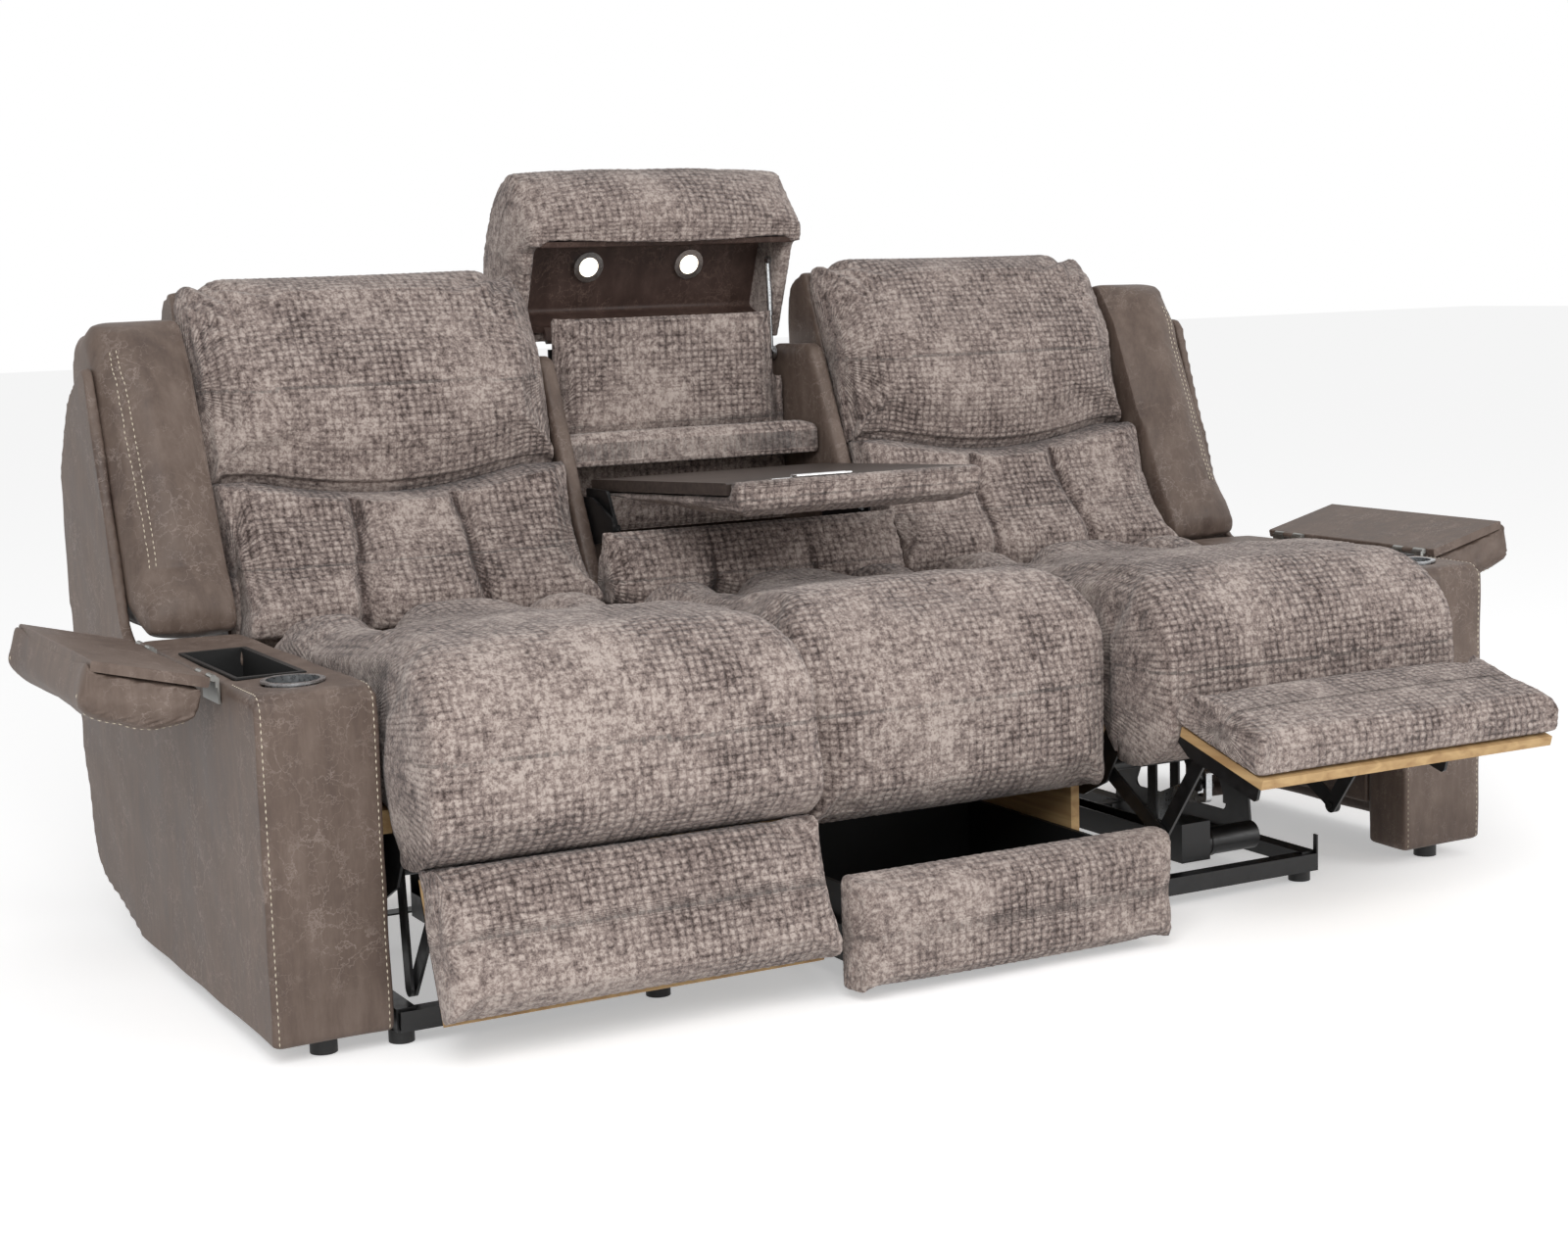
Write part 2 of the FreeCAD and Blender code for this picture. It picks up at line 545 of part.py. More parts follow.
liner = prism("liner", "side", [
    ("-199", "-36", "3"), ("-166", "50", "20"), ("-160", "78", "10"), ("-24", "78", "10"), ("-24", "16", "0"),
    ("-10.3", "16", "0"), ("-10.3", "90.7", "0"), ("-170.7", "90.7", "0"), ("-177.7", "52", "0"),
    ("-210.5", "-36", "0"),
], "-cheek + running", "2 * cheek - 2 * running", REST, "-rest_open")
rest_parts = [liner]
rest_bores = []
for k, x in enumerate(("170.4", "-209.6")):
    rest_parts.append(rod(f"rest_knuckle{k}", x, "rest_y", "rest_z", "6", "39.2", "x"))
    rest_parts.append(prism(f"rest_tongue{k}", "side", [
        ("-22", "18", "0"), ("-12", "22", "0"), ("2", "5", "0"), ("-5", "-3", "0"),
    ], x, "39.2", REST, "-rest_open"))
    rest_bores.append(rod(f"rest_bore{k}", f"{x} - 5", "rest_y", "rest_z", "2.5 + running", "50", "x"))
stud_plate = prism("stud_plate", "side", [
    ("-10", "-10", "9"), ("8", "-10", "9"), ("66", "-20", "0"), ("54", "12", "0"), ("-10", "10", "9"),
], "cheek - 4.3", "4", ("1040", "1100"))
stud = rod("upper_stud", "cheek - 16", "1040", "1100", "3", "13", "x")
node("rest_board", join("rest_board_form", [
    cut("rest_board_bored", join("rest_board_solid", rest_parts), rest_bores), stud_plate, stud]))
lights = []
light_y, light_z = turned("-116", "77.8", "rest_open")
for k, x in enumerate(("106", "-106")):
    puck = rod(f"light{k}", x, f"rest_y + {light_y}", f"rest_z + {light_z}", "30", "6", "z")
    puck.Placement.Rotation = FreeCAD.Rotation(V(1, 0, 0), 180 - number("rest_open"))
    lights.append(puck)
node("rest_lights", group("light_pair", lights))

# Gas strut of the headrest; its lower eye has play, because it turns and slides at steady rates.

LEAN = "atan((1040 - 1033) / (1100 - 922))"


def along(name, far, radius, length):
    # A round bar of the strut that ends at the given distance below its upper stud.
    bar = rod(name, "cheek - 10", f"1040 - ({far}) * sin({LEAN})", f"1100 - ({far}) * cos({LEAN})",
              radius, length, "z")
    bind(bar, "Placement.Rotation.Angle", f"-{LEAN}")
    bar.Placement.Rotation.Axis = V(1, 0, 0)
    bind(bar, "Placement.Rotation.Angle", f"-{LEAN}")
    return bar


tube_eye = rod("tube_eye", "cheek - 14", "1040", "1100", "8", "8", "x")
tube_body = along("tube_body", "106", "5.4", "100")
tube_bore = along("tube_bore", "110", "3.3", "92")
tube_eye_bore = rod("tube_eye_bore", "cheek - 20", "1040", "1100", "3 + running", "18", "x")
node("strut_tube", cut("strut_tube_form", join("tube_solid", [tube_eye, tube_body]), [tube_bore, tube_eye_bore]))
rod_eye = rod("rod_eye", "cheek - 14", "1033", "922", "13", "8", "x")
rod_body = along("rod_body", "168", "3", "82")
rod_eye_bore = rod("rod_eye_bore", "cheek - 20", "1033", "922", "9.3", "20", "x")
node("strut_rod", cut("strut_rod_form", join("rod_solid", [rod_eye, rod_body]), [rod_eye_bore]))


# End seats.

FOOT = ("foot_y", "foot_z")
LINK = ("link_y", "link_z")


def bar_outline(length, width):
    half = f"({width}) / 2"
    inner = f"{half} - 0.2"
    return [(f"-({half})", f"{half}", inner), (f"-({half})", f"-({length}) - {half}", inner),
            (half, f"-({length}) - {half}", inner), (half, half, inner)]


def seat(tag, sign, base, swing):
    middle = f"({sign}seat_middle)"
    # Wooden frame.
    wood = []
    for k, x in enumerate((f"{middle} + 280", f"{middle} - 308")):
        wood.append(block(f"seat_rail_{tag}{k}", x, "60", "300", "28", "640", "34"))
    for k, y in enumerate((60, 300, 455, 560)):
        wood.append(block(f"seat_cross_{tag}{k}", f"{middle} - 280", f"{y}", "300", "560", "44", "34"))
    node(f"seat_frame_{tag}", join(f"seat_wood_{tag}", wood))
    # Steel carriage with its rollers, pivots and back lugs.
    steel = []
    bores = []
    for k, x in enumerate(both_sides(base, "side_x", "4")):
        steel.append(prism(f"carriage_side_{tag}{k}", "side", [
            ("600", "190", "8"), ("600", "300", "0"), ("52", "300", "8"), ("-16", "412", "16"),
            ("-62", "412", "20"), ("-62", "374", "16"), ("22", "258", "14"), ("44", "222", "10"),
            ("110", "190", "14"),
        ], x, "4"))
    for k, x in enumerate(both_sides(base, "side_x + 2", "18")):
        for m, y in enumerate((320, 520)):
            steel.append(rod(f"roller_{tag}{k}{m}", x, f"{y}", "roller_z", "roller_r", "18"))
    for k, x in enumerate(both_sides(base, "foot_x - 1", "9")):
        steel.append(rod(f"foot_pin_{tag}{k}", x, "foot_y", "foot_z", "pin_r", "9"))
    for k, x in enumerate(both_sides(base, "link_x - 4", "20")):
        steel.append(rod(f"link_pin_{tag}{k}", x, "link_y", "link_z", "8", "20"))
    for k, (y, z) in enumerate(((150, 228), (560, 214))):
        steel.append(rod(f"cross_tube_{tag}{k}", f"{base} - side_x - 2", f"{y}", f"{z}", "10", "2 * side_x + 4"))
    for k, x in enumerate(both_sides(base, "22", "4")):
        steel.append(block(f"hanger_{tag}{k}", x, "138", "64", "4", "24", "164"))
    lugs = []
    for k, x in enumerate((f"{middle} + 274", f"{middle} - 280")):
        lugs.append(prism(f"back_lug_{tag}{k}", "side", [
            ("606", "302", "0"), ("700", "302", "0"), ("740", "400", "10"), ("740", "442", "20"),
            ("690", "442", "20"), ("664", "350", "8"), ("652", "334", "0"), ("606", "334", "0"),
        ], x, "6"))
    lug_bore = rod(f"lug_bore_{tag}", f"{middle} - 300", "back_y", "back_z", "pin_r + running", "600")
    lug_cuts = [cut(f"lug_open_{tag}{k}", lug, [lug_bore]) for k, lug in enumerate(lugs)]
    node(f"seat_carriage_{tag}", group(f"carriage_{tag}", [join(f"carriage_solid_{tag}", steel)] + lug_cuts))
    # Cushion with slots for the footrest arms.
    cushion = prism(f"seat_pad_{tag}", "side", [
        ("-40 - nose", "foot_z - nose", "nose - 0.5"), ("20", "foot_z - nose", "10"), ("58", "334 + running", "0"),
        ("640", "334 + running", "0"), ("651", "498", "18"), ("560", "502", "90"), ("110", "seat_top + 4", "220"),
        ("-40 - nose", "seat_top", "nose - 0.5"),
    ], f"{middle} - seat_half", "2 * seat_half", soft=12)
    slots = [block(f"nose_slot_{tag}{k}", x, "-180", "250", "16", "240", "166")
             for k, x in enumerate(both_sides(base, "184", "16"))]
    node(f"seat_cushion_{tag}", cut(f"seat_cushion_form_{tag}", cushion, slots))
    # Motor, gearbox and screw rail.
    rail = prism(f"rail_{tag}", "front", [
        ("-22", "60", "0"), ("22", "60", "0"), ("22", "100", "0"), ("19", "100", "0"), ("19", "63", "0"),
        ("-19", "63", "0"), ("-19", "100", "0"), ("-22", "100", "0"),
    ], "115", "366", (base, "0"))
    screw = rod(f"screw_{tag}", base, "112", "82", "6", "370", "y")
    hanger = block(f"rail_hanger_{tag}", f"{base} - 22", "480", "60", "44", "4", "240")
    gearbox = block(f"gearbox_{tag}", f"{base} - 30", "60", "56", "60", "55", "68")
    can = rod(f"motor_can_{tag}", f"{base} + 28", "86", "81", "24", "112")
    ring = rod(f"motor_ring_{tag}", f"{base} + 38", "86", "81", "25.5", "9")
    cap_end = rod(f"motor_end_{tag}", f"{base} + 138", "86", "81", "13", "10")
    node(f"drive_motor_{tag}", join(f"drive_{tag}", [rail, screw, hanger, gearbox, can, ring, cap_end]))
    # Nut with the slotted yoke that the crank pin runs in.
    nut_y = f"(link_y + crank_y + 1 + yoke_reach - stroke * {swing})"
    nut = block(f"nut_{tag}", f"{base} - 18.5", f"{nut_y} - 25", "63.5", "37", "50", "44")
    neck = prism(f"neck_{tag}", "side", [
        ("-25", "100", "0"), ("25", "100", "0"), ("25", "150", "10"), ("-70", "190", "10"),
        ("16 - yoke_reach", "222", "8"), ("-16 - yoke_reach", "222", "8"), ("-16 - yoke_reach", "166", "8"),
        ("-66", "156", "12"), ("-25", "130", "8"),
    ], f"{base} - 6", "12", (nut_y, "0"))
    yoke = prism(f"yoke_{tag}", "side", [
        ("-pin_r - yoke_play", "174", "6"), ("pin_r + yoke_play", "174", "6"),
        ("pin_r + yoke_play", "213", "6"), ("-pin_r - yoke_play", "213", "6"),
    ], f"{base} - 10", "20", (f"{nut_y} - yoke_reach", "0"))
    nut_bore = rod(f"nut_bore_{tag}", base, f"{nut_y} - 40", "82", "6 + running", "80", "y")
    node(f"drive_nut_{tag}", cut(f"drive_nut_form_{tag}", join(f"nut_solid_{tag}", [nut, neck]), [yoke, nut_bore]))
    # Lower links on their torque tube with the crank.
    pin_y, pin_z = turned("arm_pin_y", "arm_pin_z", swing)
    crank_at = turned("crank_y", "crank_z", swing)
    link_turn = f"atan(arm_pin_y / (-arm_pin_z)) - {swing} * 1 deg"
    crank_turn = f"atan(crank_y / (-crank_z)) - {swing} * 1 deg"
    parts = [rod(f"torque_tube_{tag}", f"{base} - link_x - 2", "link_y", "link_z", "12", "2 * link_x + 4")]
    for k, x in enumerate(both_sides(base, "link_x", "plate")):
        parts.append(prism(f"lower_link_{tag}{k}", "side", bar_outline("sqrt(arm_pin_y^2 + arm_pin_z^2)", "26"),
                           x, "plate", LINK, link_turn))
    for k, x in enumerate(both_sides(base, "link_x - 8", "10")):
        parts.append(rod(f"elbow_pin_{tag}{k}", x, f"link_y + {pin_y}", f"link_z + {pin_z}", "pin_r", "10"))
    for k, x in enumerate(both_sides(base, "9", "plate")):
        parts.append(prism(f"crank_{tag}{k}", "side", bar_outline("sqrt(crank_y^2 + crank_z^2)", "20"),
                           x, "plate", LINK, crank_turn))
    parts.append(rod(f"crank_pin_{tag}", f"{base} - 14", f"link_y + {crank_at[0]}", f"link_z + {crank_at[1]}",
                     "pin_r", "28"))
    tube_bores = [rod(f"link_bore_{tag}{k}", x, "link_y", "link_z", "8 + running", "14")
                  for k, x in enumerate(both_sides(base, "link_x - 6", "14"))]
    node(f"lower_links_{tag}", cut(f"lower_links_form_{tag}", join(f"lower_solid_{tag}", parts), tube_bores))
    # Footrest: pad, board and arms that turn about the pivot in the front roll.
    turn = f"-{swing}"
    node(f"footrest_pad_{tag}", prism(f"foot_pad_form_{tag}", "side", [
        ("-48", "-350", "22"), ("12", "-350", "8"), ("12", "-132", "8"), ("-48", "-136", "14"),
    ], f"{middle} - 306", "612", FOOT, turn, 6))
    node(f"footrest_board_{tag}", prism(f"foot_board_form_{tag}", "side", [
        ("12", "-345", "0"), ("28", "-345", "0"), ("28", "-138", "0"), ("12", "-138", "0"),
    ], f"{middle} - 298", "596", FOOT, turn))
    arms = []
    for k, x in enumerate(both_sides(base, "foot_x", "plate")):
        arm = prism(f"foot_arm_{tag}{k}", "side", [
            ("-15", "15", "14"), ("15", "15", "14"), ("38", "-100", "60"), ("60", "-150", "16"),
            ("60", "-326", "8"), ("28", "-326", "0"), ("28", "-137.5", "0"), ("-15", "-30", "30"),
        ], x, "plate", FOOT, turn)
        bore = rod(f"foot_bore_{tag}{k}", f"{x} - 2", "foot_y", "foot_z", "pin_r + running", "9")
        arms.append(cut(f"foot_arm_open_{tag}{k}", arm, [bore]))
    for k, x in enumerate(both_sides(base, "link_x - 8", "9")):
        arms.append(rod(f"knee_pin_{tag}{k}", x, f"foot_y + {pin_y}", f"foot_z + {pin_z}", "pin_r", "9"))
    pairs = [join(f"foot_arm_pin_{tag}{k}", [arms[k], arms[k + 2]]) for k in range(2)]
    node(f"footrest_arms_{tag}", group(f"foot_arms_{tag}", pairs))
    # Upper links, which keep their slope while the footrest turns.
    slope = "atan((link_y - foot_y) / (foot_z - link_z))"
    span = "sqrt((link_y - foot_y)^2 + (foot_z - link_z)^2)"
    uppers = []
    for k, x in enumerate(both_sides(base, "link_x - 7", "plate")):
        link = prism(f"upper_link_{tag}{k}", "side", bar_outline(span, "26"), x, "plate",
                     (f"foot_y + {pin_y}", f"foot_z + {pin_z}"), slope)
        knee = rod(f"knee_bore_{tag}{k}", f"{x} - 2", f"foot_y + {pin_y}", f"foot_z + {pin_z}",
                   "pin_r + running", "9")
        elbow = rod(f"elbow_bore_{tag}{k}", f"{x} - 2", f"link_y + {pin_y}", f"link_z + {pin_z}",
                    "pin_r + elbow_play", "9")
        uppers.append(cut(f"upper_link_open_{tag}{k}", link, [knee, elbow]))
    node(f"upper_links_{tag}", group(f"upper_pair_{tag}", uppers))


seat("left", "-", "base_left", "left_open")
seat("right", "", "base_right", "right_open")

# Backs of the end seats, drawn upright; the left one mirrors the right one.

shell = prism("shell_form", "side", [
    ("728", "468", "0"), ("870", "440", "50"), ("1030", "560", "90"), ("1076", "820", "200"),
    ("1060", "1050", "36"), ("992", "1082", "14"),
], "302", "634")
shell_parts = []
for k, x in enumerate(("seat_middle + 262", "seat_middle - 273.6")):
    shell_parts.append(prism(f"back_plate{k}", "side", [
        ("-16", "-16", "14"), ("16", "-16", "14"), ("75", "34.5", "0"), ("75", "60", "0"), ("17", "60", "0"),
        ("-16", "16", "14"),
    ], x, "11.6", ("back_y", "back_z")))
for k, x in enumerate(("seat_middle + 270", "seat_middle - 282")):
    shell_parts.append(rod(f"back_pin{k}", x, "back_y", "back_z", "pin_r", "12"))
shell_right = join("back_shell_form", [shell] + shell_parts)
lumbar_right = prism("lumbar_form", "side", [
    ("610", "507", "18"), ("743.5", "505", "0"), ("846.7", "745", "0"), ("784", "752", "24"), ("697", "612", "70"),
], "304", "630", soft=8)
head_right = prism("headrest_form", "side", [
    ("787", "756", "22"), ("851.5", "756", "0"), ("984", "1064", "0"), ("999", "1098", "18"),
    ("950", "1116", "30"), ("853", "945", "90"),
], "304", "632", soft=6)
bolster_right = prism("bolster_form", "side", [
    ("640", "543", "20"), ("920", "543", "80"), ("1040", "650", "90"), ("1068", "850", "120"),
    ("1050", "1010", "50"), ("905", "1040", "50"), ("845", "960", "80"), ("705", "640", "80"),
], "936.3", "160.7", soft=14)
for name, form in (("back_shell", shell_right), ("lumbar_cushion", lumbar_right),
                   ("headrest_cushion", head_right), ("side_bolster", bolster_right)):
    node(name + "_right", form)
    node(name + "_left", mirror(name + "_left_form", form))

doc.recompute()

# Every feature must be sound before anything is written.

for thing in doc.Objects:
    state = [word for word in thing.State if word in ("Invalid", "Error")]
    if state:
        raise RuntimeError(f"{thing.Name} {thing.Label}: {thing.State}")

os.makedirs("parts", exist_ok=True)
for thing in NODES:
    shape = thing.Shape
    if shape.isNull() or not shape.isValid() or not shape.Solids:
        raise RuntimeError(f"{thing.Label} has no sound solid")
    shape.exportStep(f"parts/{thing.Label}.step")
print(len(NODES), "nodes written")
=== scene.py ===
# %% [markdown]
# A three-seat power reclining sofa. The rigid pieces come from the imported model and
# get their finishes here. Each cushion is made again as a soft piece: a copy of its foam
# is remeshed, blown up a little as cloth, and then tufted.

# %% Load the model
import json
import math
import bpy
import numpy as np
from mathutils import Matrix, Vector


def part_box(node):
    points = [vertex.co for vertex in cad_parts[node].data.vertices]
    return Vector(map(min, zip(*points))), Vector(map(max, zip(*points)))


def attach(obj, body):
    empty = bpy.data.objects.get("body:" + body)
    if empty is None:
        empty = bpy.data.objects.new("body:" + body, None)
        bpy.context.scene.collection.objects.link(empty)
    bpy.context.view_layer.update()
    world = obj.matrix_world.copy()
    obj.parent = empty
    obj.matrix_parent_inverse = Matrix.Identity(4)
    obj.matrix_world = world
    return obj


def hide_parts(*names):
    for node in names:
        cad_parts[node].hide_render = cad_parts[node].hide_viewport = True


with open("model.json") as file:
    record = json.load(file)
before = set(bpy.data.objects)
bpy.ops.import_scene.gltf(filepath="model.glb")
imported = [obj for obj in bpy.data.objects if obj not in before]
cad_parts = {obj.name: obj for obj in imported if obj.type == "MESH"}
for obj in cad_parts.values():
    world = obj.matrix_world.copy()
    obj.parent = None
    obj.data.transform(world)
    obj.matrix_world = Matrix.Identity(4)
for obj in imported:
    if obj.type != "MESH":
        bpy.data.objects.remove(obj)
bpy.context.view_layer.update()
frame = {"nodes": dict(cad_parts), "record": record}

# %% [markdown]
# The depths below are measured from the plane of the arm fronts, in millimetres, as
# an upholsterer would measure them. One number moves them to the model's own frame.

# %% Shared sizes
ARM_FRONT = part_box("arm_shells")[0][1] * 1000
SEAT_MIDDLE = 620
SEAT_HALF = 314
CENTRE_HALF = 297
FOOT = (-40, 395)
TABLE = (700, 640)
TABLE_TILT = 2.75
REST = (1067, 962)
REST_OPEN = 68
LEFT_OPEN = 20
RIGHT_OPEN = 75
ARM_TOP = 530
LID_HINGE = (1128, 535)
LID_TILT = math.radians(14)
print("arm fronts at", ARM_FRONT)

# %% [markdown]
# Colours are picked as sRGB hex codes, as a swatch gives them, and turned to the
# linear values that the renderer adds up.

# %% Colour and node helpers
def linear(code):
    parts = [int(code[k:k + 2], 16) / 255 for k in (1, 3, 5)]
    parts = [c / 12.92 if c <= 0.04045 else ((c + 0.055) / 1.055) ** 2.4 for c in parts]
    return (*parts, 1.0)


def add(tree, kind, links=None, stops=(), **settings):
    # An input is given by its name or its number, and a node stands for its first output.
    # Stops are the places and shades of a colour ramp.
    made = tree.nodes.new("ShaderNode" + kind)
    for name, value in settings.items():
        setattr(made, name, value)
    for key, value in (links or {}).items():
        if isinstance(value, bpy.types.Node):
            value = value.outputs[0]
        if isinstance(value, bpy.types.NodeSocket):
            tree.links.new(value, made.inputs[key])
        else:
            made.inputs[key].default_value = value
    for _ in stops[2:]:
        made.color_ramp.elements.new(0.5)
    for k, (place, shade) in enumerate(stops):
        made.color_ramp.elements[k].position = place
        made.color_ramp.elements[k].color = linear(shade) if isinstance(shade, str) else (shade, shade, shade, 1)
    return made


def finish(name):
    material = bpy.data.materials.new(name)
    material.use_nodes = True
    tree = material.node_tree
    shader = tree.nodes["Principled BSDF"]
    return material, tree, shader


print("helpers ready")

# %% [markdown]
# The cushions wear a chenille: tufts about 13 mm wide and 11 mm high stand up between
# sunken threads. Wear and brushing lay the pile over, so the threads show in some
# patches only, and there they are darkened as painted shade in the hollows between
# tufts. The pile itself is a salt and pepper of pale and dark yarn. The pattern follows
# the cloth through a UV map in metres. A second layer, of painted shade, darkens the
# colour where the cover is pulled in or meets a neighbour, because no light reaches the
# bottom of a tuft.

# %% Chenille
TUFT_WIDE = 0.0135
TUFT_HIGH = 0.0115


def make_chenille():
    material, tree, shader = finish("woven_chenille")
    place = add(tree, "UVMap", uv_map="weave")
    solid = add(tree, "TexCoord").outputs["Object"]
    # The threads don't run quite straight.
    drift = add(tree, "TexNoise", {"Vector": solid, "Scale": 26.0, "Detail": 2.0}).outputs["Color"]
    wobble = add(tree, "VectorMath", {0: drift, "Scale": 0.006}, operation="SCALE")
    split = add(tree, "SeparateXYZ", {0: add(tree, "VectorMath", {0: place, 1: wobble}, operation="ADD")})
    rows = []
    for axis, pitch, blunt in (("X", TUFT_WIDE, 0.55), ("Y", TUFT_HIGH, 0.45)):
        count = add(tree, "Math", {0: split.outputs[axis], 1: 1 / pitch}, operation="MULTIPLY")
        wave = add(tree, "Math", {0: count, 1: 0.5}, operation="PINGPONG")
        whole = add(tree, "Math", {0: wave, 1: 2.0}, operation="MULTIPLY")
        rows.append(add(tree, "Math", {0: whole, 1: blunt}, operation="POWER"))
    tuft = add(tree, "Math", {0: rows[0], 1: rows[1]}, operation="MULTIPLY")
    thread = add(tree, "Math", {0: 1.0, 1: tuft}, operation="SUBTRACT")
    # The threads show only where the pile is brushed over.
    brushed = add(tree, "TexNoise", {"Vector": solid, "Scale": 5.5, "Detail": 3.0, "Roughness": 0.6})
    patches = add(tree, "ValToRGB", {"Fac": brushed}, ((0.36, 0.25), (0.60, 1.0)))
    sunk = add(tree, "Math", {0: thread, 1: patches}, operation="MULTIPLY")
    pile = add(tree, "TexNoise", {"Vector": solid, "Scale": 230.0, "Detail": 3.0, "Roughness": 0.8})
    curl = add(tree, "TexNoise", {"Vector": solid, "Scale": 78.0, "Detail": 2.0, "Roughness": 0.6})
    nap = add(tree, "TexNoise", {"Vector": solid, "Scale": 13.0, "Detail": 4.0, "Roughness": 0.6})
    # This layer is painted shade: it darkens the colour in creases, tucks and joins.
    painted_shade = add(tree, "Attribute", attribute_name="painted_shade").outputs["Fac"]
    tone = add(tree, "Math", {0: pile, 1: 1.5, 2: -0.90}, operation="MULTIPLY_ADD")
    # The sunken threads are darkened: painted shade in the hollows between the tufts.
    for part, weight in ((curl, 1.1), (nap, 0.50), (sunk, -0.50), (painted_shade, -0.45)):
        tone = add(tree, "Math", {0: part, 1: weight, 2: tone}, operation="MULTIPLY_ADD")
    colour = add(tree, "ValToRGB", {"Fac": tone},
                 ((0.04, "#463a36"), (0.30, "#7a6c67"), (0.52, "#988982"), (0.78, "#beb0a8")))
    height = add(tree, "Math", {0: sunk, 1: -1.0}, operation="MULTIPLY")
    for part, weight in ((curl, 0.8), (pile, 0.6)):
        height = add(tree, "Math", {0: part, 1: weight, 2: height}, operation="MULTIPLY_ADD")
    bump = add(tree, "Bump", {"Strength": 0.8, "Distance": 0.0035, "Height": height})
    tree.links.new(colour.outputs[0], shader.inputs["Base Color"])
    tree.links.new(bump.outputs[0], shader.inputs["Normal"])
    shader.inputs["Roughness"].default_value = 0.95
    shader.inputs["Specular IOR Level"].default_value = 0.12
    shader.inputs["Sheen Weight"].default_value = 0.18
    shader.inputs["Sheen Roughness"].default_value = 0.6
    return material


CHENILLE = make_chenille()
print("chenille made")

# %% [markdown]
# The arms and shells wear a coated leather cloth that is made to look worn. Its coat
# is cloudy brown, thin pale creases wander over it where it has been folded, and
# short rubbed streaks run up and down. A fine pebble grain breaks up the gloss.

# %% Worn leather cloth
def make_leather(name, dark, middle, pale, crease, roughness):
    material, tree, shader = finish(name)
    solid = add(tree, "TexCoord").outputs["Object"]
    cloud = add(tree, "TexNoise", {"Vector": solid, "Scale": 6.0, "Detail": 7.0, "Roughness": 0.62})
    long_way = add(tree, "Mapping", {"Vector": solid, "Scale": (34.0, 34.0, 7.0)})
    streak = add(tree, "TexNoise", {"Vector": long_way, "Scale": 1.0, "Detail": 5.0, "Roughness": 0.7})
    # Creases are the edges of cells, bent so that none runs straight.
    warp = add(tree, "TexNoise", {"Vector": solid, "Scale": 16.0, "Detail": 5.0, "Roughness": 0.6})
    bent = add(tree, "VectorMath", {0: warp.outputs["Color"], "Scale": 0.12}, operation="SCALE")
    place = add(tree, "VectorMath", {0: solid, 1: bent}, operation="ADD")
    lines = []
    for scale, width in ((13.0, 0.020), (31.0, 0.030)):
        edge = add(tree, "TexVoronoi", {"Vector": place, "Scale": scale}, feature="DISTANCE_TO_EDGE")
        lines.append(add(tree, "ValToRGB", {"Fac": edge}, ((0.0, 1.0), (width, 0.0))))
    where = add(tree, "TexNoise", {"Vector": solid, "Scale": 9.0, "Detail": 4.0, "Roughness": 0.7})
    rubbed = add(tree, "ValToRGB", {"Fac": where}, ((0.42, 0.0), (0.60, 1.0)))
    either = add(tree, "Math", {0: lines[0], 1: lines[1]}, operation="MAXIMUM")
    worn = add(tree, "Math", {0: either, 1: rubbed}, operation="MULTIPLY")
    total = add(tree, "Math", {0: cloud, 1: streak}, operation="ADD")
    both = add(tree, "Math", {0: total, 1: 0.5}, operation="MULTIPLY")
    coat = add(tree, "ValToRGB", {"Fac": both}, ((0.36, dark), (0.5, middle), (0.64, pale)))
    share = add(tree, "Math", {0: worn, 1: 0.5}, operation="MULTIPLY")
    lighter = add(tree, "Mix", {0: share, 6: coat, 7: linear(crease)}, data_type="RGBA")
    grain = add(tree, "TexVoronoi", {"Vector": solid, "Scale": 520.0})
    pebble = add(tree, "Math", {0: grain, 1: 0.4}, operation="MULTIPLY")
    height = add(tree, "Math", {0: worn, 1: -0.5, 2: pebble}, operation="MULTIPLY_ADD")
    bump = add(tree, "Bump", {"Strength": 0.3, "Distance": 0.0007, "Height": height})
    gloss = add(tree, "ValToRGB", {"Fac": both}, ((0.35, roughness - 0.08), (0.65, roughness + 0.08)))
    tree.links.new(lighter.outputs[2], shader.inputs["Base Color"])
    tree.links.new(bump.outputs[0], shader.inputs["Normal"])
    tree.links.new(gloss.outputs[0], shader.inputs["Roughness"])
    shader.inputs["Specular IOR Level"].default_value = 0.35
    return material


LEATHER = make_leather("worn_leather_cloth", "#54463f", "#67584f", "#786960", "#a2938b", 0.55)
LINER = make_leather("lid_liner_cloth", "#3a2c27", "#493832", "#594740", "#8a7469", 0.5)
print("leather made")

# %% [markdown]
# The frame is bare plywood, the drawer and bins are black moulded plastic, and the
# mechanism is pressed steel with black paint. Bright metal is kept to the cup rims,
# the lamp bezels, the latch and the sliding rods.

# %% Hard finishes
def make_plain(name, low, high, scale, roughness, metallic=0.0, bump=0.0):
    material, tree, shader = finish(name)
    solid = add(tree, "TexCoord").outputs["Object"]
    mottle = add(tree, "TexNoise", {"Vector": solid, "Scale": scale, "Detail": 4.0})
    colour = add(tree, "ValToRGB", {"Fac": mottle}, ((0.3, low), (0.7, high)))
    gloss = add(tree, "ValToRGB", {"Fac": mottle}, ((0.3, roughness - 0.06), (0.7, roughness + 0.06)))
    tree.links.new(colour.outputs[0], shader.inputs["Base Color"])
    tree.links.new(gloss.outputs[0], shader.inputs["Roughness"])
    if bump:
        relief = add(tree, "Bump", {"Strength": 0.3, "Distance": bump, "Height": mottle})
        tree.links.new(relief.outputs[0], shader.inputs["Normal"])
    shader.inputs["Metallic"].default_value = metallic
    return material


